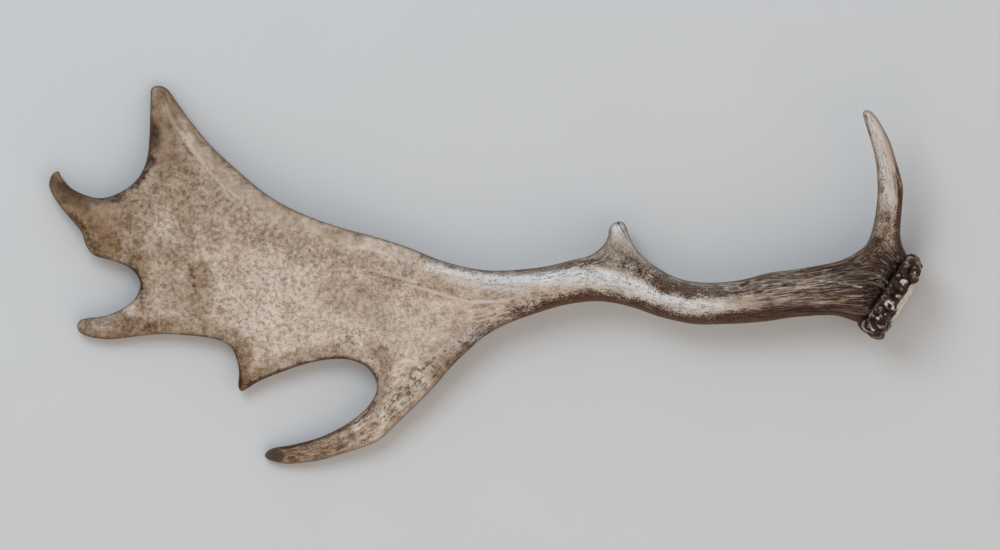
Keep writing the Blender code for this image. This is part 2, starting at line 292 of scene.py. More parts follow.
# Height of the middle of the bone above the floor: x, y and height.
HEIGHTS = [
    (307, -17, 35.5), (267, -10, 34), (200, -20, 32), (124, -16, 31), (57, -7, 30), (-3, -20, 29),
    (-63, -27, 28), (-138, -12, 27), (-213, 10, 24), (-280, 33, 18), (-324, 70, 11), (-302, -40, 9),
    (-237, 100, 16), (-244, 138, 6.3), (-63, -87, 20), (-108, -124, 13), (-160, -136, 6), (-182, -86, 11),
    (-228, -44, 14), (-123, -66, 17), (-168, 62, 28), (98, 12, 29), (100, 36, 20), (301, 22, 38),
    (304, 63, 46), (286, 120, 60), (-53, 18, 31)]

# Forks: a point on the cut, the heading of the limb beyond it, and its reach to the right, to the left
# and on. The pieces meet there face to face.
FORKS = {
    "brow_tine": ((300, 23), 90, 26, 26, 120),
    "trez_tine": ((100, 21), 90, 26, 26, 40),
    "palm": ((27, -10), 180, 220, 220, 400),
    "front_point": ((-230, 100), 90, 45, 45, 70),
    "upper_point": ((-301.5, 48.5), 141, 22, 22, 60),
    "lower_point": ((-271, -36), 180, 17, 17, 60),
    "heel_point": ((-174, -70), 239, 17, 17, 40),
    "rear_tine": ((-70, -95), 225, 43, 22, 130),
}


def smooth_step(value, low, high):
    """0 below low and 1 above high, 3t^2 - 2t^3 between them. It falls where high is below low."""
    part = np.clip((value - low) / (high - low), 0, 1)
    return part * part * (3 - 2 * part)


def closed_curve(points, spacing):
    """A closed Catmull-Rom curve through the points, and the number of the stretch that each place is in."""
    before, after, beyond = np.roll(points, 1, 0), np.roll(points, -1, 0), np.roll(points, -2, 0)
    count = np.maximum(np.hypot(*(after - points).T) / spacing, 2).astype(int)
    which = np.repeat(np.arange(len(points)), count)
    start = np.cumsum(count) - count
    t = ((np.arange(len(which)) - start[which]) / count[which])[:, None]
    a, b, c, d = before[which], points[which], after[which], beyond[which]
    curve = 0.5 * (2 * b + (c - a) * t + (2 * a - 5 * b + 4 * c - d) * t ** 2
                   + (3 * b - 3 * c + d - a) * t ** 3)
    return curve, which


def cubic(part):
    """The four Catmull-Rom weights for a place part of the way from the second cell to the third."""
    return (0.5 * part * (-1 + part * (2 - part)), 1 + 0.5 * part ** 2 * (3 * part - 5),
            0.5 * part * (1 + part * (4 - 3 * part)), 0.5 * part ** 2 * (part - 1))


def read_map(values, x, y, step=STEP):
    """A flat map read between its cells, by cubic weights on the sixteen cells round each place."""
    across, up = (x - LEFT) / step, (y - BOTTOM) / step
    column = np.clip(np.floor(across).astype(int), 1, values.shape[1] - 3)
    row = np.clip(np.floor(up).astype(int), 1, values.shape[0] - 3)
    total = 0
    for down, weight in enumerate(cubic(up - row)):
        line = sum(share * values[row + down - 1, column + right - 1]
                   for right, share in enumerate(cubic(across - column)))
        total = total + weight * line
    return total


def edge_maps(curve, which):
    """Distance inside the outline for each cell near it, and the place on the curve that is nearest.

    Each place on the curve writes its number into the cells round it, far ones first, so that the nearest
    stays. The number then slides along the curve until the cell lies square to it.
    """
    ahead = np.roll(curve, -1, 0)
    spacing = np.hypot(*(ahead - curve).T)
    tangent = ahead - np.roll(curve, 1, 0)
    tangent /= np.hypot(*tangent.T)[:, None]
    inward = np.stack([-tangent[:, 1], tangent[:, 0]], axis=1)
    column = np.rint((curve[:, 0] - LEFT) / STEP).astype(int)
    row = np.rint((curve[:, 1] - BOTTOM) / STEP).astype(int)
    near = np.full((ROWS, COLUMNS), -1)
    reach = range(-9, 10)
    shifts = sorted(((i, j) for i in reach for j in reach), key=lambda shift: -math.hypot(*shift))
    for down, right in shifts:
        near[row + down, column + right] = np.arange(len(curve))
    rows, columns = np.nonzero(near >= 0)
    place = np.stack([LEFT + columns * STEP, BOTTOM + rows * STEP], axis=1)
    number = near[rows, columns]
    longest = 6
    for _ in range(4):
        slip = ((place - curve[number]) * tangent[number]).sum(1) / spacing[number]
        number = (number + np.rint(np.clip(slip, -longest, longest)).astype(int)) % len(curve)
    distance = ((place - curve[number]) * inward[number]).sum(1)
    near[rows, columns] = number
    edge = np.full((ROWS, COLUMNS), np.nan)
    edge[rows, columns] = distance
    return edge, near


def inside_map(curve):
    """Which cells the closed curve holds: each crossing of a row of cells turns the rest of the row over."""
    ahead = np.roll(curve, -1, 0)
    level, next_level = (curve[:, 1] - BOTTOM) / STEP, (ahead[:, 1] - BOTTOM) / STEP
    crossed = np.floor(level).astype(int) != np.floor(next_level).astype(int)
    row = np.maximum(np.floor(level), np.floor(next_level)).astype(int)[crossed]
    part = (row - level[crossed]) / (next_level - level)[crossed]
    cross = curve[crossed, 0] + part * (ahead - curve)[crossed, 0]
    flips = np.zeros((ROWS, COLUMNS), int)
    np.add.at(flips, (row, np.ceil((cross - LEFT) / STEP).astype(int)), 1)
    return np.cumsum(flips, axis=1) % 2 == 1


def relax(start, held, edge, step, rounds, source=0.0, stiff=0.0):
    """Settles a map until each cell is the mean of its four neighbours, plus a source and a stiffness.

    It solves laplacian(u) - stiff * u = -source inside the outline, where held gives the value on it. A
    neighbour beyond the outline counts by how near the outline cuts the way to it.
    """
    field = start.copy()
    inner = (edge > 0)[1:-1, 1:-1]
    pull = source * step ** 2
    shares, banks = [], []
    for down, right in ((0, 1), (2, 1), (1, 0), (1, 2)):
        part = (slice(down, down + edge.shape[0] - 2), slice(right, right + edge.shape[1] - 2))
        outside = edge[part] <= 0
        gap = np.clip(edge[1:-1, 1:-1] / np.maximum(edge[1:-1, 1:-1] - edge[part], 1e-6), 0.1, 1)
        shares.append(np.where(outside, 1 / gap, 1.0))
        banks.append((part, outside, held[part]))
    total = sum(shares) + stiff[1:-1, 1:-1] * step ** 2 if np.ndim(stiff) else sum(shares)
    fixed = pull + sum(share * np.where(outside, bank, 0) for share, (_, outside, bank) in zip(shares, banks))
    shares = [np.where(outside, 0, share) for share, (_, outside, _) in zip(shares, banks)]
    for _ in range(rounds):
        spread = fixed + sum(share * field[part] for share, (part, _, _) in zip(shares, banks))
        field[1:-1, 1:-1] = np.where(inner, spread / total, field[1:-1, 1:-1])
    return field


def settled(held, edge, source=0.0, stiff=None):
    """The map that relax gives, worked out from coarse cells to fine ones."""
    coarsest = 8
    field = np.zeros_like(edge)[::coarsest, ::coarsest]
    for coarse, rounds in ((coarsest, 400), (4, 250), (2, 160), (1, 110)):
        pick = (slice(None, None, coarse), slice(None, None, coarse))
        if coarse < coarsest:
            rows, columns = np.indices(edge[pick].shape)
            field = read_map(field, LEFT + columns * STEP * coarse, BOTTOM + rows * STEP * coarse,
                             STEP * coarse * 2)
        share = stiff[pick] if stiff is not None else 0.0
        field = relax(field, held[pick], edge[pick], STEP * coarse, rounds, source, share)
    return field


def bent_plate(known, x, y):
    """Height at each place of a thin plate bent through known heights: the r^2 log r formula."""
    known = np.array(known, dtype=float)
    places, heights = known[:, :2], known[:, 2]

    def bending(distance_squared):
        """How one held place bends the plate at a distance r: 2 r^2 log r."""
        return distance_squared * np.log(distance_squared + 1e-9)

    between = ((places[:, None] - places[None]) ** 2).sum(axis=2)
    level = np.column_stack([np.ones(len(places)), places])
    system = np.block([[bending(between), level], [level.T, np.zeros((3, 3))]])
    weights = np.linalg.solve(system, np.concatenate([heights, np.zeros(3)]))
    height = weights[-3] + weights[-2] * x + weights[-1] * y
    for (place_x, place_y), weight in zip(places, weights):
        height = height + weight * bending((x - place_x) ** 2 + (y - place_y) ** 2)
    return height


def blended(known, x, y, softness=18.0):
    """Known values spread over the plan, each weighing one over its distance to the fourth power."""
    total, share = 0, 0
    for place_x, place_y, value in known:
        weight = 1 / ((x - place_x) ** 2 + (y - place_y) ** 2 + softness ** 2) ** 2
        total = total + weight * math.log(value)
        share = share + weight
    return np.exp(total / share)


def block_sum(values):
    """Each cell of a map added up with its eight neighbours. Beyond the map they count as 0."""
    padded = np.pad(values, 1)
    return sum(padded[i:i + ROWS, j:j + COLUMNS] for i in range(3) for j in range(3))


def plan_maps():
    """The four maps that the antler's form comes from: swell, middle height, grain and distance to the edge.

    Swell is the square of half the thickness. It settles from laplacian(u) - 2u / fullness^2 = -2 with
    u = 0 on the outline, which makes narrow limbs round and wide ones flat with round edges. Near the outline
    the cells are too coarse for it, so that it goes over into the slope of the cells further in, spread
    outwards, times the distance to the edge.
    """
    points = np.array([point for _, stretch, _ in OUTLINE for point in stretch], dtype=float)
    grown = np.concatenate([[grain] * len(stretch) for _, stretch, grain in OUTLINE])
    curve, which = closed_curve(points, spacing=0.25)
    edge, near = edge_maps(curve, which)
    inside = inside_map(curve)
    edge = np.where(np.isnan(edge), np.where(inside, FAR, -FAR), edge)
    rows, columns = np.indices(edge.shape)
    x, y = LEFT + columns * STEP, BOTTOM + rows * STEP
    fullness = blended(FULLNESS, x, y)
    swell = settled(np.zeros_like(edge), edge, source=2.0, stiff=2.0 / fullness ** 2)
    measured, inner, outer, least_slope = 0.4, 3, 1.2, 2.0
    known = edge > measured
    slope = np.where(known, swell / np.maximum(edge, measured), 0.0)
    for _ in range(14):
        around, share = block_sum(slope * known), block_sum(known.astype(float))
        grow = ~known & (share > 0)
        slope = np.where(grow, around / np.maximum(share, 1), slope)
        known = known | grow
    between = swell + (slope * edge - swell) * smooth_step(edge, inner, outer)
    rim = np.maximum(slope, least_slope) * edge
    swell = np.where(edge > inner, swell, np.where(edge > outer, between, rim))
    held = np.where(near >= 0, grown[which[near]], 0)
    grain = settled(held.astype(float), edge)
    grain = np.where(edge > 0, grain, held)
    return swell, bent_plate(HEIGHTS, x, y) + LIFT, grain, edge


# The maps, and how steeply the swell rises from cell to cell, per millimetre.
SWELL, MIDDLE, GRAIN, EDGE = plan_maps()
STEEP = np.hypot(*np.gradient(SWELL, STEP))


def bone_distance(x, y, z):
    """About how far a place is outside the bone: ((z - middle)^2 - swell) over the size of its gradient."""
    swell, middle, steep = (read_map(values, x, y) for values in (SWELL, MIDDLE, STEEP))
    lift = z - middle
    return (lift ** 2 - swell) / np.sqrt(steep ** 2 + 4 * lift ** 2 + 0.5)


LATTICE = 64
RANDOM = np.random.default_rng(11).uniform(-1, 1, (LATTICE, LATTICE, LATTICE))


def noise(x, y, z):
    """Smooth noise from -1 to 1: random numbers on a lattice, blended by 6t^5 - 15t^4 + 10t^3."""
    cells = [np.floor(value).astype(int) for value in (x, y, z)]
    parts = [value - cell for value, cell in zip((x, y, z), cells)]
    fade = [part ** 3 * (part * (part * 6 - 15) + 10) for part in parts]
    total = 0
    for corner in ((i, j, k) for i in (0, 1) for j in (0, 1) for k in (0, 1)):
        shares = [part if one else 1 - part for part, one in zip(fade, corner)]
        spot = tuple((cell + one) % LATTICE for cell, one in zip(cells, corner))
        total = total + shares[0] * shares[1] * shares[2] * RANDOM[spot]
    return total


def netted(distance, xs, ys, zs):
    """The surface where a field is zero, as quads: one point in each cell of a grid that it crosses.

    The point is the mean of where the surface cuts the cell's edges, and a quad joins the four cells round
    each edge that it cuts. Three Newton steps then bring the points onto the surface.
    """
    field = distance(xs[:, None, None], ys[None, :, None], zs[None, None, :])
    inside = field < 0
    count = sum(inside[i:len(xs) - 1 + i, j:len(ys) - 1 + j, k:len(zs) - 1 + k].astype(np.int8)
                for i in (0, 1) for j in (0, 1) for k in (0, 1))
    cells = np.array(np.nonzero((count > 0) & (count < 8)))
    number = np.full(count.shape, -1)
    number[tuple(cells)] = np.arange(cells.shape[1])
    corner = np.array([[[field[cells[0] + i, cells[1] + j, cells[2] + k] for k in (0, 1)]
                        for j in (0, 1)] for i in (0, 1)])
    place = np.zeros((3, cells.shape[1]))
    cuts = np.zeros(cells.shape[1])
    for axis in range(3):
        low, high = np.moveaxis(corner, axis, 0)
        cross = (low < 0) != (high < 0)
        part = np.where(cross, low / np.where(cross, low - high, 1), 0)
        first, second = [other for other in range(3) if other != axis]
        place[axis] += part.sum((0, 1))
        place[first] += cross[1].sum(0)
        place[second] += cross[:, 1].sum(0)
        cuts += cross.sum((0, 1))
    place = cells + place / cuts
    points = [np.interp(place[axis], np.arange(len(line)), line) for axis, line in enumerate((xs, ys, zs))]
    quads = []
    for axis in range(3):
        order = (axis, (axis + 1) % 3, (axis + 2) % 3)
        turned, names = (np.moveaxis(values, order, (0, 1, 2)) for values in (inside, number))
        leaves = turned[:-1] != turned[1:]
        leaves[:, (0, -1)] = False
        leaves[:, :, (0, -1)] = False
        i, j, k = np.nonzero(leaves)
        ring = np.stack([names[i, j - 1, k - 1], names[i, j, k - 1], names[i, j, k], names[i, j - 1, k]], 1)
        quads.append(np.where(turned[i, j, k][:, None], ring, ring[:, ::-1]))
    points = np.array(points)
    nudge, least_size, furthest = 0.05, 0.25, 0.5
    for _ in range(3):
        here = distance(*points)
        slope = np.array([distance(*(points + aside)) - distance(*(points - aside))
                          for aside in nudge * np.eye(3)[:, :, None]])
        slope /= 2 * nudge
        size = np.maximum((slope ** 2).sum(0), least_size)
        points = points - np.clip(here / size, -furthest, furthest) * slope
    return points, np.concatenate(quads)


def largest_part(points, quads):
    """The largest connected part of a net: each point takes its neighbours' lowest number until none does."""
    first, second = np.concatenate([quads[:, [0, 1]], quads[:, [1, 2]], quads[:, [2, 3]]]).T
    label = np.arange(points.shape[1])
    settling = True
    while settling:
        least = np.minimum(label[first], label[second])
        lower = label.copy()
        for spots in (first, second, label[first], label[second]):
            np.minimum.at(lower, spots, least)
        lower = lower[lower]
        settling = (lower != label).any()
        label = lower
    kept = label == np.bincount(label).argmax()
    number = np.cumsum(kept) - 1
    return points[:, kept], number[quads[kept[quads[:, 0]]]]


def lines(low, high, spacing):
    """Even places from low to high, a spacing apart or a little less."""
    return np.linspace(low, high, int(math.ceil((high - low) / spacing)) + 1)


def direction(degrees):
    """Cosine and sine of an angle in degrees."""
    turn = math.radians(degrees)
    return math.cos(turn), math.sin(turn)


def node_region(node, margin=3.0):
    """A node's lowest and highest corners in the drawing's frame, with a margin."""
    low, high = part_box(node)
    shift = Vector((*BOX_MIDDLE, 0))
    return low / MM + shift - Vector((margin,) * 3), high / MM + shift + Vector((margin,) * 3)


def part_at(soft, faces, fork, beyond):
    """Parts the given faces at a fork's plane, and closes the cut with a flat face.

    It keeps what is beyond the fork or, if beyond is False, what comes before it. The points and edges go
    to the cut as dictionaries, because a set's order changes from run to run.
    """
    (x, y), heading = fork[:2]
    plane = Vector(((x - BOX_MIDDLE[0]) * MM, (y - BOX_MIDDLE[1]) * MM, 0))
    points = dict.fromkeys(point for face in faces for point in face.verts)
    edges = dict.fromkeys(edge for face in faces for edge in face.edges)
    cut = bmesh.ops.bisect_plane(soft, geom=[*points, *edges, *faces], plane_co=plane,
                                 plane_no=(*direction(heading), 0),
                                 clear_outer=not beyond, clear_inner=beyond)
    rim = [piece for piece in cut["geom_cut"] if isinstance(piece, bmesh.types.BMEdge) and piece.is_boundary]
    bmesh.ops.edgeloop_fill(soft, edges=rim)


def beyond_fork(points, fork, back=6.0):
    """Which points are in the reach of a fork's limb, or a little way back from its cut."""
    (x, y), heading, right, left, reach = fork
    cos, sin = direction(heading)
    ahead = (points[0] - x) * cos + (points[1] - y) * sin
    across = -(points[0] - x) * sin + (points[1] - y) * cos
    return (ahead > -back) & (ahead < reach) & (across > -right) & (across < left)


def read_values(items, key, width, kind=np.float32):
    """One value of every item of a mesh, as an array with a row for each item."""
    values = np.empty(len(items) * width, dtype=kind)
    items.foreach_get(key, values)
    return values.reshape(-1, width)


def bone_piece(name, finish, distance, grid, relief, limbs=()):
    """Nets one piece, raises its relief, parts it at its forks and makes it an object in the frame.

    It is cut at the fork of its own name, if there is one, and where the named limbs leave it. relief takes
    the points and gives how far each moves out along its normal, and what its paint needs to know there.
    The normals are kept from before the cut, so that the light runs on over each fork, and only the flat
    faces that close the cuts have their own.
    """
    points, quads = largest_part(*netted(distance, *grid))
    mesh = bpy.data.meshes.new(name)
    mesh.vertices.add(points.shape[1])
    mesh.loops.add(quads.size)
    mesh.polygons.add(len(quads))
    mesh.loops.foreach_set("vertex_index", quads.astype(np.int32).ravel())
    mesh.polygons.foreach_set("loop_start", np.arange(0, quads.size, 4, dtype=np.int32))

    def place_points(where):
        """Puts the mesh's points at these places, and gives their normals."""
        moved = (where - np.array([[*BOX_MIDDLE, 0]]).T) * MM
        mesh.vertices.foreach_set("co", moved.T.astype(np.float32).ravel())
        mesh.update()
        return read_values(mesh.vertex_normals, "vector", 3)

    mesh.update(calc_edges=True)
    facing = place_points(points)
    height, paint = relief(points)
    points = points + facing.T * height
    facing = place_points(points)
    keep = mesh.attributes.new("facing", "FLOAT_VECTOR", "POINT")
    keep.data.foreach_set("vector", facing.ravel())
    for key, values in paint.items():
        layer = mesh.attributes.new(key, "FLOAT", "POINT")
        layer.data.foreach_set("value", np.broadcast_to(values, points.shape[1]).astype(np.float32))

    soft = bmesh.new()
    soft.from_mesh(mesh)
    soft.faces.ensure_lookup_table()
    regions = []
    for limb in limbs:
        within = beyond_fork(points, FORKS[limb])
        regions.append(([soft.faces[int(i)] for i in np.nonzero(within[quads].all(axis=1))[0]], FORKS[limb]))
    if name in FORKS:
        part_at(soft, list(soft.faces), FORKS[name], True)
    for faces, fork in regions:
        part_at(soft, [face for face in faces if face.is_valid], fork, False)
    soft.to_mesh(mesh)
    soft.free()

    most_sides = 6
    sides = read_values(mesh.polygons, "loop_total", 1, np.int32)[:, 0]
    corners = read_values(mesh.loops, "vertex_index", 1, np.int32)[:, 0]
    kept = read_values(mesh.attributes["facing"].data, "vector", 3)
    flat = read_values(mesh.polygons, "normal", 3)
    owner = np.repeat(np.arange(len(sides)), sides)
    cap = (sides > most_sides)[owner]
    normals = np.where(cap[:, None], flat[owner], kept[corners])
    mesh.attributes.remove(mesh.attributes["facing"])
    mesh.shade_smooth()
    mesh.normals_split_custom_set(normals.astype(float))
    piece = linked("antler_" + name, mesh)
    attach(piece, "root")
    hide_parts(name)
    mesh.materials.append(finish)
    print(name, len(mesh.vertices), "points", int((sides - 2).sum()), "triangles")


# Staining, and some painted light and shade, as strokes laid along the bone: radius, strength at the start
# and at the end, and the line. cream is bone that wear has made bright, and along the crest of the neck and
# beam also painted highlight; tea is a soft yellow-brown tint; ash is grey-brown, and along the upper edge of
# the neck and beam also painted shade; brown is deep stain, and where it runs along the outline also painted
# shade; dark is near-black painted shade in a cut or a hole; ridge is a raised pale line, on the beam by the
# burr also painted highlight; smooth is bone rubbed even, fleck is bone with dark flecks, fibre is where
# threads run along it, speckle is where they break up into dots, and porous is bone with small holes in it.
STROKES = {
    "cream": [
        # The first six cream strokes are the pale band along the crest of the neck and beam: wear, and
        # painted highlight where the round top faces the light.
        (7, 0.35, 0.85, [(-75, 12), (-33, 4.5), (-10.5, 0), (19.5, -4), (57, -2.3)]),
        (4.5, 0.9, 1.0, [(-40, 5.5), (-18, 1), (8, -4), (36, -3.5), (64, 0)]),
        (8, 0.85, 1.0, [(57, -2.3), (87, -3), (106, -8), (124.5, -16), (144, -24)]),
        (7, 1.0, 0.45, [(144, -24), (169.5, -26.5), (192, -26)]),
        (5, 0.45, 0.1, [(192, -26), (215, -22), (235, -18)]),
        (5, 0.6, 0.6, [(-24, -4), (8, -9), (31, -12)]),
        (13, 0.45, 0.50, [(-162, 8), (-160, -12), (-158, -34)]),
        (14, 0.35, 0.35, [(-146, -5), (-128, -32)]),
        (9, 0.25, 0.25, [(-140, 19), (-106, 6)]),
        (8, 0.35, 0.35, [(-84, -20), (-74, -28)]),
        (9, 0.45, 0.45, [(-152, -50), (-126, -50)]),
        (2.2, 0.4, 0.3, [(-242, 126), (-236, 116), (-225, 104), (-215, 90), (-207, 75), (-195, 64)]),
        (6, 0.3, 0.3, [(-190, 60), (-160, 42), (-120, 27), (-93, 18)]),
        (7, 0.45, 0.55, [(290, 116), (294, 105), (300, 85), (303, 66), (304, 55)]),
        (6, 0.7, 0.2, [(304, 55), (303, 38)]),
        (6, 0.75, 0.25, [(99, 37), (100, 28), (102, 20)]),
        (1.8, 0.7, 0.6, [(106, 30), (108.5, 24), (114, 15), (125, 6)]),
        (4.0, 0.35, 0.35, [(-275, -38), (-292, -39)]),
        (10.0, 0.55, 0.50, [(-76, -104), (-50, -80), (-30, -62), (-8, -46)]),
        (20, 0.40, 0.35, [(-200, -20), (-150, -42), (-110, -35), (-60, -45), (-40, -50)]),
        (7, 0.40, 0.40, [(-241, -8), (-240, -24)]),
    ],
    "tea": [
        (17, 0.95, 0.85, [(-239, 128), (-243, 93)]),
        (13, 0.75, 0.50, [(-245, 86), (-251, 68)]),
        (15, 0.85, 0.95, [(-270, 50), (-276, 40), (-284, 25)]),
        (11, 0.60, 0.75, [(-254, 56), (-262, 36), (-266, 22)]),
        (2.6, 0.6, 0.5, [(94, 32), (95, 26)]),
        (6, 0.50, 0.50, [(-70, -104), (-66, -108)]),
        (4, 0.35, 0.45, [(302, 104), (308, 80), (310, 58)]),
        (12, 0.45, 0.45, [(-246, 18), (-226, 16)]),
        (12, 0.50, 0.45, [(-237, 2), (-234, -20)]),
        (8, 0.30, 0.30, [(-190, 20), (-185, 14)]),
        (8, 0.35, 0.35, [(-160, 44), (-126, 32), (-98, 28)]),
        (8, 0.30, 0.30, [(-56, 4), (-50, 1)]),
        (7, 0.60, 0.60, [(-256, -18), (-255, -34)]),
        (15, 1.1, 1.2, [(-322, 70), (-306, 50), (-292, 34), (-284, 22)]),
        (9, 1.0, 0.8, [(-306, 52), (-290, 48), (-278, 50)]),
        (26, 0.75, 0.3, [(-235, 75), (-213, 50), (-168, 33)]),
        (11, 0.85, 0.80, [(-260, 10), (-258, -10)]),
        (12, 0.20, 0.25, [(-232, -30), (-198, -36)]),
        (6.5, 0.8, 0.9, [(-243, 98), (-238, 90), (-226, 86)]),
        (11, 0.75, 0.65, [(-214, 0), (-213, -26)]),
        (8, 0.5, 0.5, [(-98, -9), (-88, -13)]),
        (5, 0.5, 0.4, [(-168, -73), (-140, -62), (-115, -57), (-93, -62)]),
        (12, 0.25, 0.3, [(-40, -8), (0, -12), (35, -14)]),
        (10, 0.35, 0.35, [(2, -42), (18, -30)]),
        (12, 0.80, 0.50, [(-32, -72), (-14, -56)]),
        (9, 0.40, 0.40, [(-70, -92), (-52, -86)]),
        (10, 1.0, 0.6, [(-154, -134), (-128, -131), (-104, -126)]),
        (8, 0.7, 0.5, [(-170, -74), (-158, -72)]),
        (8, 0.85, 0.6, [(-274, -36), (-252, -38), (-225, -40), (-190, -48)]),
        (6, 0.8, 0.9, [(-298, -46), (-270, -45), (-248, -39)]),
        (5, 0.8, 0.5, [(-252, -43), (-228, -47), (-212, -47)]),
        (10, 0.85, 1.0, [(-187, -57), (-179, -84)]),
        (5.5, 0.75, 0.45, [(-219, 5), (-217, -12), (-211, -24)]),
        (10, 0.40, 0.30, [(-159, 30), (-138, 25.5), (-100, 9), (-63, 0)]),
        (9, 0.3, 0.3, [(-120, -12), (-80, -25)]),
        (8, 0.35, 0.3, [(-115, -19.5), (-78, -34.5), (-67, -46)]),
        (6, 0.45, 0.60, [(-84, -53), (-74, -64), (-77, -91)]),
        (6, 0.70, 0.60, [(-77, -90), (-84, -98)]),
        (10, 0.3, 0.2, [(-40, -91), (-63, -106)]),
        (9, 0.5, 0.6, [(-118, -134), (-140, -138)]),
        (7, 0.35, 0.35, [(-303, -38), (-265, -37)]),
        (4, 0.6, 0.45, [(-228, 122), (-209, 97), (-178, 67), (-138, 43)]),
        (1.6, 0.5, 0.5, [(-240, 122), (-232, 107), (-225, 100)]),
        (1.6, 0.45, 0.3, [(-224, 99), (-214, 84), (-203, 70), (-186, 55)]),
        (9, 0.5, 1.0, [(200, -6), (240, -4), (268, -4)]),
        (12, 0.45, 0.85, [(196, -20), (258, -18)]),
        (16, 0.9, 1.2, [(262, -14), (290, -12)]),
        (5, 0.30, 0.45, [(44, -18), (60, -15), (90, -14), (120, -19), (150, -29), (180, -32)]),
        (15, 1.1, 0.3, [(302, 8), (298, 30), (300, 50)]),
        (12, 0.35, 0.35, [(100, 16), (108, 8)]),
        (9, 0.35, 0.35, [(-35, -62), (0, -36)]),
        (10, 0.3, 0.3, [(60, -8), (110, -16)]),
    ],
    "ash": [
        # The first four ash strokes run along the upper edge of the neck and beam: grey-brown bone, and
        # painted shade where the side turns away from the light.
        (5.0, 0.6, 1.0, [(-45, 12), (-20, 7), (12, 2.5), (42, 3.5), (64, 8)]),
        (10, 0.7, 0.7, [(70, 10), (84, 11), (100, 14), (116, 6)]),
        (6.5, 0.6, 1.15, [(117, 7), (126, 1), (139.5, -8), (154.5, -12.5)]),
        (6, 1.0, 0.35, [(154.5, -11.5), (177, -12), (207, -8), (237, -5), (262, 0)]),
        (20, 0.20, 0.20, [(-262, 48), (-236, 82)]),
        (18, 0.25, 0.25, [(-275, 28), (-262, 15)]),
        (12, 0.32, 0.32, [(-165, 28), (-135, 12), (-104, 6), (-63, 2)]),
        (7, 0.5, 0.4, [(-303, -38), (-270, -34)]),
        (6.0, 1.5, 1.3, [(-164, -136.5), (-156, -137)]),
        (3.5, 0.6, 0.6, [(-301, -40), (-290, -39)]),
        (4.5, 0.7, 0.6, [(-323, 70), (-318, 62)]),
        (4.0, 0.5, 0.5, [(-181, -84), (-178, -80)]),
        (6.0, 0.6, 0.6, [(302, 46), (300, 34)]),
    ],
    "brown": [
        # The first five brown strokes lie along the neck and beam, most of them on the lower edge: stain, and
        # painted shade on the beam's underside.
        (7.0, 0.15, 0.95, [(-2, -50), (18, -38), (42, -29)]),
        (8.4, 0.95, 1.15, [(42, -28), (60, -22.5), (87, -20.5), (117, -27.5), (147, -37), (177, -40)]),
        (4.5, 0.20, 0.62, [(22, -25), (40, -20), (62, -16.5), (84, -16), (100, -18.5)]),
        (4.0, 0.6, 0.5, [(58, 6), (78, 8.5), (92, 11)]),
        (9.0, 1.25, 1.2, [(177, -38), (207, -34.5), (237, -30), (280, -29)]),
        (7.0, 0.5, 0.8, [(205, -6), (240, -3.5), (262, -2), (285, 0)]),
        (7.0, 0.55, 1.1, [(236, 0), (256, 3), (277, 7)]),
        (6.0, 0.8, 0.9, [(277, 9), (286, 15), (293, 24)]),
        (8.5, 0.5, 0.85, [(232, -19), (262, -20), (290, -23)]),
        (13, 0.6, 1.1, [(260, -18), (276, -17), (292, -14)]),
        (13, 0.9, 1.15, [(268, -4), (285, 0), (300, 6)]),
        (6.4, 0.7, 0.9, [(119, 1.5), (134, -9.5), (152, -13)]),
        (5.0, 0.45, 0.40, [(228, -6), (250, -8)]),
        (5.8, 0.75, 0.45, [(152, -13), (166, -14), (182, -12.5), (205, -10)]),
        (6.5, 0.5, 0.6, [(108, 8), (122, 1), (136, -6)]),
        (2.2, 0.3, 0.5, [(-3, 4), (20, 2), (45, 5)]),
        (1.0, 0.55, 0.40, [(-226, 97.5), (-214, 84), (-196, 63)]),
        (5.0, 0.66, 0.62, [(-274, 58), (-292, 55)]),
        # These two run along the outer margin: stain, and painted shade where the edge turns down.
        (7.5, 0.55, 0.55, [(-24, -68), (-8, -52), (12, -37), (36, -26)]),
        (3.0, 0.7, 0.8, [(-34, -88), (-18, -72), (-4, -58), (10, -47), (24, -38)]),
        (14, 1.0, 0.35, [(298, 2), (298, 18), (299, 34)]),
        # These four run along the brow tine's edges, darkest on its right: stain, and painted shade on the
        # side away from the light.
        (2.6, 0.1, 1.0, [(299, 107), (307.5, 86), (312, 66), (311.5, 48)]),
        (3.0, 1.0, 1.1, [(311.5, 48), (310.5, 30), (312.5, 16)]),
        (1.2, 0.5, 0.8, [(308.5, 52), (307.5, 36), (308, 20)]),
        (2.0, 0.4, 0.5, [(286.5, 112), (292, 95), (296.5, 75), (295, 50), (291, 34)]),
        (2.2, 0.5, 0.5, [(299, 72), (298, 62)]),
        (7.5, 0.74, 0.66, [(-249, 108), (-247, 96)]),
        (6.0, 0.40, 0.30, [(-242, 104), (-234, 99)]),
        # From here on most brown strokes run along the palm's bays and margins: stain, and painted shade
        # where the edge turns down.
        (2.2, 0.7, 1.1, [(-250, 118), (-250.5, 104), (-252, 92)]),
        (2.0, 1.1, 0.9, [(-252, 92), (-256, 80), (-263, 69)]),
        (1.4, 0.9, 0.6, [(-263, 69), (-273, 61), (-286, 57)]),
        (4.5, 0.80, 0.60, [(-250, 86), (-256, 76), (-264, 66), (-274, 59)]),
        (5.0, 0.40, 0.40, [(-262, -33), (-252, -38)]),
        (5.0, 0.65, 0.65, [(-317, 66), (-308, 60), (-292, 56)]),
        (6.5, 0.62, 0.50, [(-313, 56), (-300, 50)]),
        (2.0, 0.7, 0.9, [(-316, 68), (-307, 61.5), (-296, 58.5), (-286, 57)]),
        (5.5, 0.50, 0.50, [(-314, 50), (-302, 34), (-291, 20)]),
        (2.4, 0.35, 0.45, [(-318, 58), (-303, 40), (-298, 24), (-292, 15)]),
        (3.4, 0.5, 0.7, [(-290, 14), (-275, 9), (-262, 1)]),
        (2.2, 1.1, 1.0, [(-263, 2), (-258.5, -5), (-257.5, -11)]),
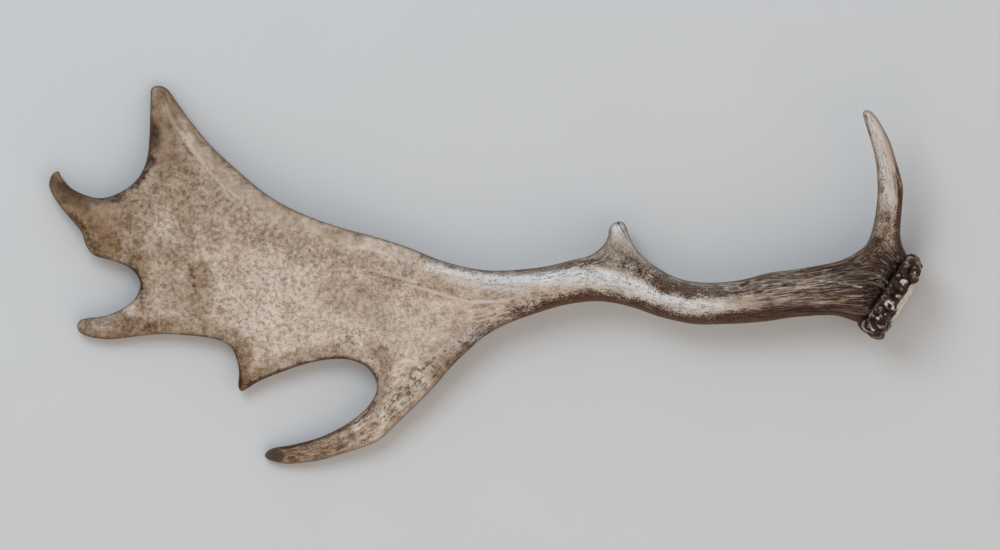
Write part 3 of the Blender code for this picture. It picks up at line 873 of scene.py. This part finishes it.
        (2.4, 0.5, 0.35, [(-257.5, -11), (-256, -20)]),
        (2.0, 0.6, 0.6, [(-299, -48), (-280, -50), (-250, -48), (-228, -47)]),
        (3.4, 0.27, 0.33, [(-220, 4), (-217, -13)]),
        (3.2, 0.8, 0.8, [(-228, -47), (-200, -51), (-189, -59), (-184.5, -73), (-184, -83)]),
        (3.4, 0.9, 0.7, [(-175, -84), (-160, -77), (-138, -68.5), (-108, -64), (-90, -68), (-81, -80)]),
        (2.0, 0.5, 0.85, [(-80, -91), (-87, -105), (-104, -116), (-130, -126), (-152, -130)]),
        (8.0, 0.40, 0.12, [(-154, -136), (-126, -131), (-100, -122)]),
    ],
    "dark": [
        (0.5, 0.8, 0.8, [(278, -14.3), (284, -9.8)]),
        (0.5, 0.8, 0.8, [(283.5, -17.3), (289.5, -12)]),
        (0.5, 0.5, 0.6, [(270, -11.5), (275.5, -8)]),
        (0.9, 0.7, 0.5, [(285.6, 118.6), (287, 115)]),
        (0.5, 0.9, 0.5, [(101, 38.5), (105, 31.5), (108.5, 24)]),
        (1.1, 0.9, 0.9, [(100.9, 38.3)]),
        (1.2, 0.8, 0.8, [(-218, -9)]),
        (0.8, 0.5, 0.5, [(-219.8, 1.5)]),
        (0.9, 0.8, 0.8, [(108.8, -7.5)]),
        (0.7, 0.6, 0.6, [(96.8, -1.5)]),
        (0.8, 0.6, 0.6, [(101.3, -3)]),
        (0.8, 0.6, 0.6, [(-228, 103.8)]),
        (0.9, 0.6, 0.6, [(-223.9, 100.8)]),
        (0.6, 0.35, 0.5, [(-95, 0.5), (-80, -1), (-66, -4.5), (-48, -9.0)]),
        (0.5, 0.2, 0.3, [(-52, -3.5), (-36, -9), (-20, -13)]),
        (0.6, 0.3, 0.35, [(-15.5, -18), (1.5, -19), (19, -16.5)]),
        (1.0, 0.7, 0.7, [(297.8, 39)]),
        (0.9, 0.6, 0.6, [(301, 40)]),
        (0.8, 0.6, 0.6, [(300.5, 70.5)]),
        (0.8, 0.6, 0.6, [(298, 79)]),
        (1.1, 0.6, 0.6, [(158, -12.5)]),
        (0.9, 0.6, 0.6, [(239, -11)]),
        (1.0, 0.7, 0.7, [(-99, -44.5)]),
        (1.1, 0.8, 0.8, [(193, -8.5), (198, -6)]),
    ],
    "ridge": [
        (1.4, 0.32, 0.52, [(-118, 3), (-105, 4), (-81, 2.5), (-62, -3), (-51, -6)]),
        (1.4, 0.52, 0.50, [(-58, -7), (-46, -11), (-28, -16.5), (-11, -21), (18, -20.3)]),
        (1.6, 0.45, 0.50, [(-104, 20), (-89, 20), (-73, 15)]),
        (1.8, 0.30, 0.35, [(-242, 130), (-236, 119), (-231, 110), (-222, 98)]),
        (1.8, 0.50, 0.36, [(-227, 106), (-219, 94), (-214, 87), (-206, 77), (-196, 66), (-184, 57)]),
        (1.2, 0.20, 0.20, [(-207, 70), (-190, 57), (-172, 45)]),
        # The ridges from here on lie on the beam towards the burr: raised pale lines whose paleness is partly
        # painted highlight.
        (0.9, 0.2, 0.35, [(210, -4.5), (235, -4.0), (252, -5.2)]),
        (0.9, 0.35, 0.55, [(252, -5.2), (264, -6.3), (274.5, -8.0), (283, -10)]),
        (1.0, 0.2, 0.32, [(290, -6.3), (294, -7.2), (299, -10), (303.8, -13.6)]),
        (1.0, 0.2, 0.32, [(292, 0), (296, -1.2), (303.5, -7.2)]),
        (0.9, 0.30, 0.25, [(297.4, 11.2), (299.6, 9.2), (302.6, 6.9)]),
        (0.9, 0.20, 0.28, [(300.8, 14.7), (303.6, 12.7), (306, 10.4)]),
        (0.9, 0.15, 0.28, [(304.3, 15.1), (309.5, 9.6)]),
        (0.9, 0.20, 0.28, [(298.3, 6.1), (302, 4.6), (305.2, 2.6)]),
        (0.9, 0.20, 0.28, [(293.1, 5.2), (297, 3.4), (300.8, 0.9)]),
    ],
    "smooth": [
        (5.5, 0.9, 0.9, [(-238, 126), (-224, 105), (-207, 86), (-190, 70), (-172, 56), (-150, 45)]),
        (4.5, 0.8, 0.5, [(-150, 45), (-125, 34), (-95, 24), (-60, 14)]),
        (6.0, 0.6, 0.6, [(-162, -137), (-150, -136)]),
        (9.0, 1.0, 1.0, [(-318, 66), (-304, 56), (-286, 50)]),
        (14, 0.8, 0.8, [(-250, 112), (-240, 94)]),
    ],
    "speckle": [
        (17, 1.0, 0.9, [(98, 26), (112, 8), (130, -4)]),
        (9, 1.0, 1.0, [(30, -26), (60, -21), (90, -20), (120, -25), (150, -34), (176, -37)]),
        (14, 0.6, 0.6, [(-10, -10), (40, -5), (100, -8), (150, -22), (190, -24)]),
        (16, 0.9, 0.9, [(298, 22), (300, 44)]),
        (7, 0.6, 0.7, [(289, 114), (296, 90), (301, 66)]),
    ],
    "fleck": [
        (11, 0.9, 0.6, [(-152, -136), (-120, -131), (-95, -121), (-76, -105)]),
        (9, 1.0, 1.0, [(-80, -108), (-62, -92), (-50, -78), (-44, -72)]),
        (9, 1.0, 1.1, [(-44, -78), (-22, -56), (8, -36), (36, -25)]),
        (6, 0.5, 0.5, [(-108, -50), (-92, -46)]),
        (8, 0.5, 0.5, [(-75, -58), (-72, -80)]),
        (8, 0.60, 0.75, [(80, -8), (106, -13), (130, -23), (160, -30), (190, -29)]),
        (5, 0.8, 0.8, [(40, -14), (60, -14), (90, -13), (118, -19)]),
        (9, 0.5, 0.7, [(10, -14), (35, -18)]),
        (7, 0.55, 0.55, [(288, 112), (295, 88), (298, 64)]),
        (9, 0.45, 0.45, [(300, 66), (301, 42)]),
    ],
    "fibre": [
        (20, 0.6, 0.0, [(-244, 140), (-243, 110), (-242, 80)]),
        (12, 0.5, 0.0, [(-324, 72), (-305, 50), (-288, 40)]),
        (12, 0.4, 0.0, [(-305, -40), (-275, -37), (-250, -33)]),
        (20, 1.0, 0.8, [(-165, -138), (-120, -132), (-85, -118), (-66, -98)]),
        (20, 0.8, 0.3, [(-66, -98), (-40, -75), (-10, -45)]),
    ],
    "porous": [
        (12, 0.9, 0.9, [(292, 18), (299, 34), (301, 44)]),
        (7.0, 0.8, 0.8, [(-109, -52), (-90, -44)]),
        (9.0, 0.9, 0.8, [(-80, -62), (-72, -85), (-64, -100), (-95, -124), (-125, -134)]),
        (8.0, 1.1, 1.1, [(-45, -82), (-18, -58), (10, -36), (34, -24)]),
        (4.0, 0.7, 0.7, [(300, 92), (302, 70)]),
    ],
}

# The burr: its middle, the lean of its axis in degrees, and the radius of the ring that its pearls stand on.
BURR_MIDDLE = (307, -17, 35.5 + LIFT)
BURR_LEAN = -32
RING = 29.6

# The pearls of the burr that the upper side shows: degrees round it, millimetres along it, and radius.
PEARLS = [
    (-13, -1.6, 5.0), (3, -2.4, 5.6), (20, 0.4, 4.8), (33, -3.6, 4.0), (36, 3.6, 4.2), (50, 4.6, 4.2),
    (48, -3.8, 3.0), (57, 0.0, 2.8), (66, 0.1, 3.3), (62, -4.6, 2.3), (74, -3.4, 2.6), (77, 1.6, 2.0),
    (87, 1.5, 2.4), (85, -3.6, 2.3), (94, -2.4, 2.0), (105, -4.4, 2.4), (114, -2.8, 2.7), (117, 2.0, 2.8),
    (122, -4.6, 2.8), (124.5, 0.6, 3.1), (131.5, -1.2, 3.2), (139, 0.6, 3.6), (147, -1.2, 3.9),
    (155, 0.6, 4.2), (163, -2.2, 4.4), (171, 0.4, 4.7), (179, -4.6, 4.9), (183, 1.4, 5.0)]

# The one hollow pearl: degrees round the burr, millimetres along it, and how wide and thick its rim is.
HOLLOW_PEARL = (104, 1.3, 3.0, 1.2)

# Painted highlights on the burr, as white glints on its upper side: degrees round it, millimetres along it,
# and radius.
GLINTS = [
    (66, 0.1, 2.0), (57, -2.6, 0.9), (88, 1.4, 0.9), (79, -2.6, 0.8), (118, 1.5, 0.8), (128, -1.8, 0.8),
    (140, 1.2, 1.2), (151, -0.8, 1.2), (165, 1.0, 1.2), (44, 3.8, 1.3), (30, 0.5, 0.9)]


def segment_distance(x, y, first, last):
    """Distance to a straight line between two points, and how far along it the nearest place is."""
    (x0, y0), (x1, y1) = first, last
    length = (x1 - x0) ** 2 + (y1 - y0) ** 2
    part = np.clip(((x - x0) * (x1 - x0) + (y - y0) * (y1 - y0)) / max(length, 1e-6), 0, 1)
    return np.hypot(x - x0 - part * (x1 - x0), y - y0 - part * (y1 - y0)), part


def brushed(kind, x, y):
    """Strength of the strongest stroke of a kind at each place.

    It is full up to 0.3 radii from the line, and fades out by 1.6.
    """
    total = np.zeros_like(x)
    for radius, first, last, line in STROKES[kind]:
        line = line if len(line) > 1 else line * 2
        spots = np.array(line)
        if (spots.max(0) + 2 * radius < (x.min(), y.min())).any():
            continue
        if (spots.min(0) - 2 * radius > (x.max(), y.max())).any():
            continue
        steps = len(line) - 1
        for number in range(steps):
            away, part = segment_distance(x, y, line[number], line[number + 1])
            strength = first + (last - first) * (number + part) / steps
            total = np.maximum(total, strength * smooth_step(away, 1.6 * radius, 0.3 * radius))
    return total


def burr_place(x, y, z):
    """Places as the burr has them: along its axis, sideways from it and above it, in millimetres."""
    cos, sin = direction(BURR_LEAN)
    along = (x - BURR_MIDDLE[0]) * cos + (y - BURR_MIDDLE[1]) * sin
    sideways = -(x - BURR_MIDDLE[0]) * sin + (y - BURR_MIDDLE[1]) * cos
    return along, sideways, z - BURR_MIDDLE[2]


def ring_distance(place, turn, side, ring, stretch=1.0):
    """Distance to a middle on a ring round the burr, which counts less along the axis for a low stretch."""
    along, sideways, height = place
    cos, sin = direction(turn)
    return np.sqrt((sideways - ring * cos) ** 2 + (height - ring * sin) ** 2
                   + stretch * (along - side) ** 2)


def all_pearls():
    """Every pearl as its place on the ring: the seen ones as listed, the rest in two uneven rows."""
    pearls = list(PEARLS)
    for number in range(15):
        for row, side in enumerate((-4.2, 3.4)):
            turn = 196 + (number + 0.5 * row) * 10.6 + 2.6 * math.sin(2.9 * number + row)
            last = smooth_step(turn, 290, 345)
            pearls.append((turn, side * (1 - 0.5 * last) + 1.3 * (1 - last) * math.sin(4.3 * number),
                           4.9 - 0.6 * last + 0.5 * math.sin(3.1 * number + row)))
    return pearls


def burr_distance(x, y, z):
    """How far a place is outside the burr: a barrel under pearls, one hollow pearl, and the domed seal.

    Each pearl is a ball whose middle lies on the ring. It also gives how near a place is to the crease
    between two pearls, from the difference of its two least distances, and how far it is from the rim of
    the hollow pearl.
    """
    place = along, sideways, height = burr_place(x, y, z)
    out = np.hypot(sideways, height)
    barrel_radius, barrel_middle, barrel_half, rounding = 23.6, -0.8, 2.6, 4.0
    over, past = out - barrel_radius, np.abs(along - barrel_middle) - barrel_half
    barrel = np.hypot(np.maximum(over, 0), np.maximum(past, 0)) + np.minimum(np.maximum(over, past), 0)
    nearest = barrel - rounding
    unmeasured = 9.0
    second = np.full_like(nearest, unmeasured)
    for turn, side, radius in all_pearls():
        stretch = 0.35 if 126 < turn < 189 else 0.78
        away = ring_distance(place, turn, side, RING, stretch) - radius
        second = np.minimum(second, np.maximum(nearest, away))
        nearest = np.minimum(nearest, away)
    turn, side, wide, thick = HOLLOW_PEARL
    cos, sin = direction(turn)
    rim_height, hole_depth, hole_radius = 1.4, 0.2, 2.0
    lifted = sideways * cos + height * sin - RING - rim_height
    around = -sideways * sin + height * cos
    across = np.hypot(around, along - side)
    crater = np.hypot(across - wide, lifted) - thick
    hole = np.hypot(across, lifted + hole_depth) - hole_radius
    second = np.minimum(second, np.maximum(nearest, crater))
    nearest = np.maximum(np.minimum(nearest, crater), -hole)
    dome_radius, dome_start, dome_height, dome_end, dome_scale = 23.5, 2, 8.6, 10.0, 9
    dome = np.sqrt((out / dome_radius) ** 2 + ((along - dome_start) / dome_height) ** 2) - 1
    dome = np.maximum(dome * dome_scale, along - dome_end)
    second = np.minimum(second, np.maximum(nearest, dome))
    nearest = np.minimum(nearest, dome)
    crease_width = 2.4
    return nearest, np.clip(1 - (second - nearest) / crease_width, 0, 1), crater


def beam_distance(x, y, z):
    """The beam joined to its burr, with a small fillet: the smooth least of the two distances."""
    burr_reach, fillet = 268, 1.2
    joined = bone_distance(x, y, z)
    close = np.ravel(x) > burr_reach
    x, y, z = (values[close] if len(values) == len(close) else values for values in (x, y, z))
    bone, burr = joined[close], burr_distance(x, y, z)[0]
    part = np.clip(0.5 + 0.5 * (burr - bone) / fillet, 0, 1)
    joined[close] = burr + (bone - burr) * part - fillet * part * (1 - part)
    return joined


# How much the grain's number grows from one millimetre to the next across the beam.
GRAIN_PER_MM = 2.43


def bone_relief(points):
    """Ridges, creases, cuts and low waves of the bone in millimetres, and what its paint reads.

    The ridges are a noise that is read by grain and by height, and hardly along the bone, so that it draws
    out into long folds which follow the grain round the beam and into the burr.
    """
    x, y, z = points
    grain, middle = read_map(GRAIN, x, y), read_map(MIDDLE, x, y)
    lift, edge = z - middle, read_map(EDGE, x, y)
    lateral, slow = grain / GRAIN_PER_MM, 0.8 * x + 0.6 * y
    coarse = smooth_step(x, 110, 275) * smooth_step(y, 50, 10)
    wander = 0.8 * noise(x / 14 + 3, y / 14, z / 14)
    folds = noise(lateral / 1.2 + wander, lift / 1.2, slow / 32)
    folds = 0.75 * folds + 0.5 * noise(lateral / 3.0 + wander, lift / 3.0, slow / 55)
    fine = noise(lateral / 0.8 + 5, lift / 0.8, slow / 14)
    marks = {kind: brushed(kind, x, y) for kind in STROKES}
    coarse = coarse * (1 - 0.7 * marks["speckle"])
    crease = np.clip(1 - np.abs(folds + 0.12) / 0.16, 0, 1) * coarse * (0.6 + 0.4 * fine)
    seen = smooth_step(lift, -3.0, 0.5)
    for kind in ("dark", "ridge"):
        marks[kind] = marks[kind] * seen
    height = coarse * (0.65 * folds + 0.38 * fine) - 0.40 * crease
    height += 0.30 * noise(x / 19, y / 19, z / 19 + 5) + 0.10 * noise(x / 4.5, y / 4.5, z / 4.5)
    height += 0.05 * noise(x / 1.6, y / 1.6, z / 1.6) + 0.35 * marks["ridge"] - 0.50 * marks["dark"]
    paint = {"grain": grain, "lift": lift, "edge": edge, "coarse": coarse, "crease": crease,
             "folds": (0.75 * folds + 0.55 * fine) * coarse, **marks}
    return height * smooth_step(edge, -0.6, 1.0), paint


def beam_relief(points):
    """The bone's relief, which on the burr goes over into fine folds along its axis, and lumps.

    The seal is nearly smooth. The paint also reads where the burr and its seal are, the creases between the
    pearls and the groove behind them, which it paints as shade, and its painted highlights: the lit side of
    the hollow pearl's rim and the glints.
    """
    height, paint = bone_relief(points)
    x, y, z = points
    place = along, sideways, up = burr_place(x, y, z)
    out, around = np.hypot(sideways, up), np.arctan2(up, sideways) * RING
    angle = around / RING
    nearest, gap, crater = burr_distance(x, y, z)
    bone = bone_distance(x, y, z)
    seal = smooth_step(along, 4.4, 5.6) * smooth_step(out, 25, 22.5)
    on_burr = np.maximum(smooth_step(bone - nearest, -0.4, 0.6), seal)
    stained = smooth_step(angle, 1.85, 2.05) * smooth_step(up, 1, 7) * smooth_step(out, 15, 19)
    seal = seal * (1 - stained)
    folds = noise(around / 1.5, along / 5, out / 5)
    rough = noise(x / 1.5, y / 1.5, z / 1.5)
    lumps = noise(x / 2.8 + 7, y / 2.8, z / 2.8)
    burr_height = 0.42 * folds + 0.40 * rough + 0.95 * lumps - 0.30 * gap
    burr_height = burr_height + (0.35 * rough + 0.2 * lumps - burr_height) * seal
    height = height + (burr_height - height) * on_burr
    # Painted shade: the beam darkens in the groove behind the burr, the more the nearer it comes to it.
    groove = smooth_step(along, -19, -8.5) * smooth_step(nearest, 9, 1) * (1 - on_burr)
    # Painted highlights: the lit side of the hollow pearl's rim, and white glints on the burr's upper side.
    cos, sin = direction(HOLLOW_PEARL[0])
    open_side = smooth_step(up * cos - sideways * sin, 2.4, 0.6)
    bright = np.clip(1.2 - np.abs(crater) / 1.2, 0, 1) * open_side * smooth_step(lumps + rough, -1.2, 0.0)
    for turn, side, radius in GLINTS:
        away = ring_distance(place, turn, side, RING + 3)
        bright = np.maximum(bright, smooth_step(away + 1.3 * rough, 1.9 * radius, 0.5 * radius))
    bright = bright * on_burr * (up > 0)
    lobe = smooth_step(np.abs(around) / RING, 2.2, 2.8) - 1.3 * smooth_step(np.abs(angle - 1.4), 1.1, 0.7)
    paint["folds"] = paint["folds"] * (1 - on_burr) + (0.7 * folds + 0.5 * lumps + 0.25 * lobe) * on_burr
    paint["grain"] = paint["grain"] * (1 - seal) + (sideways + 60) * seal
    for kind in (*STROKES, "crease"):
        if kind != "smooth":
            paint[kind] = paint[kind] * (1 - on_burr)
    paint.update(gap=gap * on_burr, burr=on_burr, seal=seal, groove=groove, bright=bright)
    return height, paint


# The bone's colours as the eye reads them on the lit antler. Each pair goes from the light parts of the
# mottling to the dark ones.
TAN = shade(207, 191, 174), shade(129, 101, 75)
ASH = shade(150, 136, 123), shade(94, 77, 66)
STAIN = shade(102, 71, 50), shade(43, 23, 13)
SEAL = shade(228, 215, 200), shade(160, 133, 112)
# The white is the pale band on the crest of the neck and beam, partly painted highlight.
CREAM, WHITE, WORN_DARK = shade(222, 208, 192), shade(245, 245, 243), shade(144, 114, 92)
# The near-black is painted shade in creases and cuts.
GREY_FILM, BLACK_SHADE = shade(90, 82, 78), shade(34, 21, 18)
TEA = (0.46, 0.35, 0.24, 1)
PIT, FLECK = shade(62, 44, 34), shade(86, 60, 44)
# Painted shade in the troughs of the folds and painted highlight on their crests.
FOLD_BOTTOM, FOLD_TOP = shade(42, 23, 17), shade(196, 178, 162)
DARK_STREAK, PALE_STREAK = shade(46, 27, 21), shade(190, 172, 156)
# The beam's pale ridge colour is partly painted highlight.
PALM_VEIN, BEAM_VEIN_AND_SHEEN = shade(209, 194, 176), shade(212, 202, 190)
# Painted shade along the bone's outline, where its sides turn down.
RIM, SHARP_RIM = shade(92, 68, 48), shade(58, 40, 28)
# Painted shade in the groove behind the burr and between its pearls, and painted highlight for its glints.
GROOVE, GAP, GLINT = shade(34, 22, 20), shade(28, 17, 15), shade(212, 203, 197)
# The pearls' dark bone, and their tops, lighter from wear and painted highlight.
PEARL_DARK, PEARL_WORN_AND_LIT = shade(58, 37, 29), shade(152, 132, 115)


def bone_finish(name, burr=False):
    """Dry antler bone. Mottled tan, cream where wear shows, stained brown, with fibres along the grain, and
    painted light.

    The strokes and the creases come as attributes, and cloudy noise breaks up their borders. Past the neck,
    where x is between -70 and 30, the fine mottling of the palm goes over into the threads of the beam. The
    painted light is painted shade in creases, cuts, the troughs of the folds, the groove by the burr, between
    its pearls and along the outline, and painted highlight on the crests of the folds, the crest of the neck
    and beam, the tops of the pearls and the burr's glints.
    """
    paint = Finish(name, 0.55)
    spot = paint.place()
    x, y, _ = paint.parts(spot)
    grain, lift, edge = paint.along("grain"), paint.along("lift"), paint.along("edge")
    coarse, crease, folds = paint.along("coarse"), paint.along("crease"), paint.along("folds")
    strokes = {kind: paint.along(kind) for kind in STROKES}
    cream, ash, brown = strokes["cream"], strokes["ash"], strokes["brown"]

    slow = x * 0.8 + y * 0.6
    flow = paint.vector(grain * 0.41, lift, slow * 0.20)
    threads = paint.noise(flow, 0.80, 3.0, 0.6)
    swirl = paint.noise(spot, 0.30, 5.0, 0.72, 0.3)
    grit = paint.noise(spot, 0.85, 3.0, 0.7)
    streaks = paint.noise(paint.vector(grain * 0.62, lift, slow * 0.05), 0.85, 2.0, 0.6)
    strands = paint.noise(paint.vector(grain * 1.2, lift, slow * 0.22), 0.75, 3.0, 0.6)
    cloud = paint.noise(spot, 0.11, 4.0, 0.6)
    wide = paint.noise(spot, 0.033, 3.0, 0.5)
    fibrous = x.step(-70.0, 30.0)
    texture = swirl + (grit - swirl) * (x.step(-220.0, -90.0) * 0.20 + 0.24)
    texture = texture + (0.48 - texture) * strokes["smooth"] * 0.75
    texture = texture + (strands - texture) * strokes["fibre"] * 0.8
    texture = texture + (threads - texture) * fibrous * 0.72
    texture = texture + (grit * 0.8 + swirl * 0.2 - texture) * strokes["speckle"] * 0.8
    ragged = (texture - 0.5) * (fibrous * 1.3 + 1.0) + (cloud - 0.5) * 1.2 + (grit - 0.5) * 0.5
    ragged = ragged * (1.0 - strokes["smooth"] * 0.75)

    def spread(strength, low, high):
        """How far a stain covers: its strength moved up and down by the ragged noise where there is any."""
        return (strength * 1.15 + ragged * (strength * 4.0).clamped()).step(low, high)

    paint.colour = paint.mix((texture * 0.68 + cloud * 0.26 + wide * 0.08).step(0.39, 0.645), *TAN)
    # Cream going over to white on the neck and beam, where the pale band along the crest is partly painted
    # highlight.
    bleach_and_sheen = paint.mix(x.step(-70.0, 0.0), CREAM, WHITE)
    wear_and_sheen = paint.mix((texture - fibrous * 0.03).step(0.44, 0.62), bleach_and_sheen, WORN_DARK)
    paint.cover(spread(cream, 0.10, 1.10), wear_and_sheen)
    paint.cover(spread(ash, 0.20, 1.10), paint.mix(texture.step(0.34, 0.66), *ASH))
    paint.cover(spread(brown, 0.25, 1.05), paint.mix(texture.step(0.36, 0.64), *STAIN))
    paint.cover((ash + ragged * 0.5).step(0.85, 1.6) * 0.85, GREY_FILM)
    soaked = strokes["tea"] * (cloud * 0.5 + 0.75 + (texture - 0.5) * 0.6)
    paint.cover(soaked.clamped(), TEA, "MULTIPLY")

    cells = {"Vector": spot, "Scale": 0.42, "Randomness": 1.0}
    holes, tinted = (paint.node("ShaderNodeTexVoronoi", {"feature": "F1"}, output=output, **cells)
                     for output in ("Distance", "Color"))
    lucky = paint.parts(tinted)[0].step(0.55, 0.60)
    scattered = paint.noise(spot, 0.06, 2.0, 0.6).step(0.45, 0.70) * 0.45
    pits = (1.0 - holes.step(0.16, 0.40)) * lucky * (strokes["porous"] + scattered).clamped()
    paint.cover(pits * 0.6, PIT)
    flecks = paint.noise(paint.vector(grain * 0.75, lift, slow * 0.40), 0.62, 4.0, 0.72)
    flecks = (flecks + (cloud - 0.5) * 0.5).step(0.53, 0.62) * strokes["fleck"]
    paint.cover(flecks * 0.82, FLECK)

    # Painted shade in the troughs of the folds and painted highlight on their crests, kept off where the bone
    # is brown; the streaks after them run along the grain.
    rub_and_crest_light = coarse * (1.0 - brown * 0.65).clamped()
    paint.cover((folds * -1.0 + ragged * 0.4).step(0.0, 0.5) * coarse * 0.92, FOLD_BOTTOM)
    paint.cover((folds + ragged * 0.4).step(0.15, 0.7) * rub_and_crest_light * 0.58, FOLD_TOP)
    paint.cover((0.49 - streaks).step(0.0, 0.07) * coarse * 0.75, DARK_STREAK)
    paint.cover((streaks - 0.53).step(0.0, 0.07) * rub_and_crest_light * 0.50, PALE_STREAK)
    # Painted shade: near-black along the creases of the folds.
    paint.cover(crease.step(0.12, 0.85) * 0.8, BLACK_SHADE)
    if burr:
        # Painted shade in the groove behind the burr, lighter where the folds' crests rise out of it.
        lit_crests = (folds + ragged * 0.2).step(0.1, 0.5) * 0.45
        paint.cover((paint.along("groove") * 1.2 - lit_crests).clamped(), GROOVE)
    # Pale raised ridges, partly painted highlight on the beam by the burr.
    vein_and_sheen = paint.mix(fibrous, PALM_VEIN, BEAM_VEIN_AND_SHEEN)
    paint.cover((strokes["ridge"] * (ragged * 1.9 + 0.8)).step(0.05, 0.75) * 0.7, vein_and_sheen)
    # Painted shade: the bone darkens towards its outline, where its sides turn down away from the light.
    paint.cover((1.0 - (edge + ragged * 1.4).step(0.0, 3.0)) * 0.50, RIM)
    paint.cover((1.0 - edge.step(0.1, 1.1)) * 0.45, SHARP_RIM)
    if burr:
        gap, bright = paint.along("gap"), paint.along("bright")
        # The pearls lighten towards their tops and darken into the creases between them: wear, painted
        # highlight on the tops and painted shade in the creases.
        wear_and_top_light = (folds * 1.1 + ragged * 0.8 - gap * 0.6 + lift * 0.015).step(0.0, 0.9)
        pearl = paint.mix(wear_and_top_light, PEARL_DARK, PEARL_WORN_AND_LIT)
        pearl = paint.mix(gap.step(0.30, 0.90) * 0.92, pearl, GAP)
        pearl = paint.mix((bright + ragged * 0.7).step(0.2, 1.1) * 0.80, pearl, GLINT)
        paint.cover(paint.along("burr"), pearl)
        paint.cover(paint.along("seal"), paint.mix(texture.step(0.36, 0.66), *SEAL))
    # Painted shade: near-black in the cuts and holes of the dark strokes.
    paint.cover(strokes["dark"].step(0.10, 0.90) * 0.92, BLACK_SHADE)

    paint.join(paint.shader.inputs["Base Color"], paint.colour)
    paint.join(paint.shader.inputs["Roughness"], (0.58 + (texture - 0.5) * 0.3 - cream * 0.12).clamped())
    paint.raise_bumps(texture * 0.6 + threads * 0.6 * coarse - pits, strength=0.4, distance=0.0006)
    return paint.material


def even_grid(node, spacing, margin=3.0):
    """Lines of a grid over a node's region along each axis."""
    low, high = node_region(node, margin)
    return [lines(low[axis], high[axis], spacing) for axis in range(3)]


# The beam's grid is fine across it, and along it from BURR_START on.
BURR_START = 282.0
BURR_SPACING, BEAM_SPACING = 0.66, 1.3
low, high = node_region("beam")
beam_grid = even_grid("beam", BURR_SPACING)
beam_grid[0] = np.concatenate([lines(low[0], BURR_START, BEAM_SPACING)[:-1],
                               lines(BURR_START, high[0], BURR_SPACING)])
bone_piece("beam", bone_finish("beam_bone", burr=True), beam_distance, beam_grid, beam_relief,
           ("brow_tine", "trez_tine", "palm"))


# The brow tine and the trez tine: round prongs of the same bone, rubbed pale, that fork off the beam's
# front. Each is its own piece past the plane of its fork.
tine_finish = bone_finish("tine_bone")
for node in ("brow_tine", "trez_tine"):
    bone_piece(node, tine_finish, bone_distance, even_grid(node, spacing=0.62, margin=7.0),
               bone_relief)


# The palm: the broad flat blade past the neck, thin and mottled, with a thicker front margin.
# The points and the rear tine grow out of it, and are cut off at their forks.
POINTS = ("front_point", "upper_point", "lower_point", "heel_point", "rear_tine")
palm_finish = bone_finish("palm_bone")
bone_piece("palm", palm_finish, bone_distance, even_grid("palm", spacing=0.97), bone_relief,
           POINTS)


# The points of the palm and the long rear tine: the blade's margin drawn out into blunt prongs, stained
# brown, with rubbed grey tips.
for node in POINTS:
    bone_piece(node, palm_finish, bone_distance, even_grid(node, spacing=0.66), bone_relief)
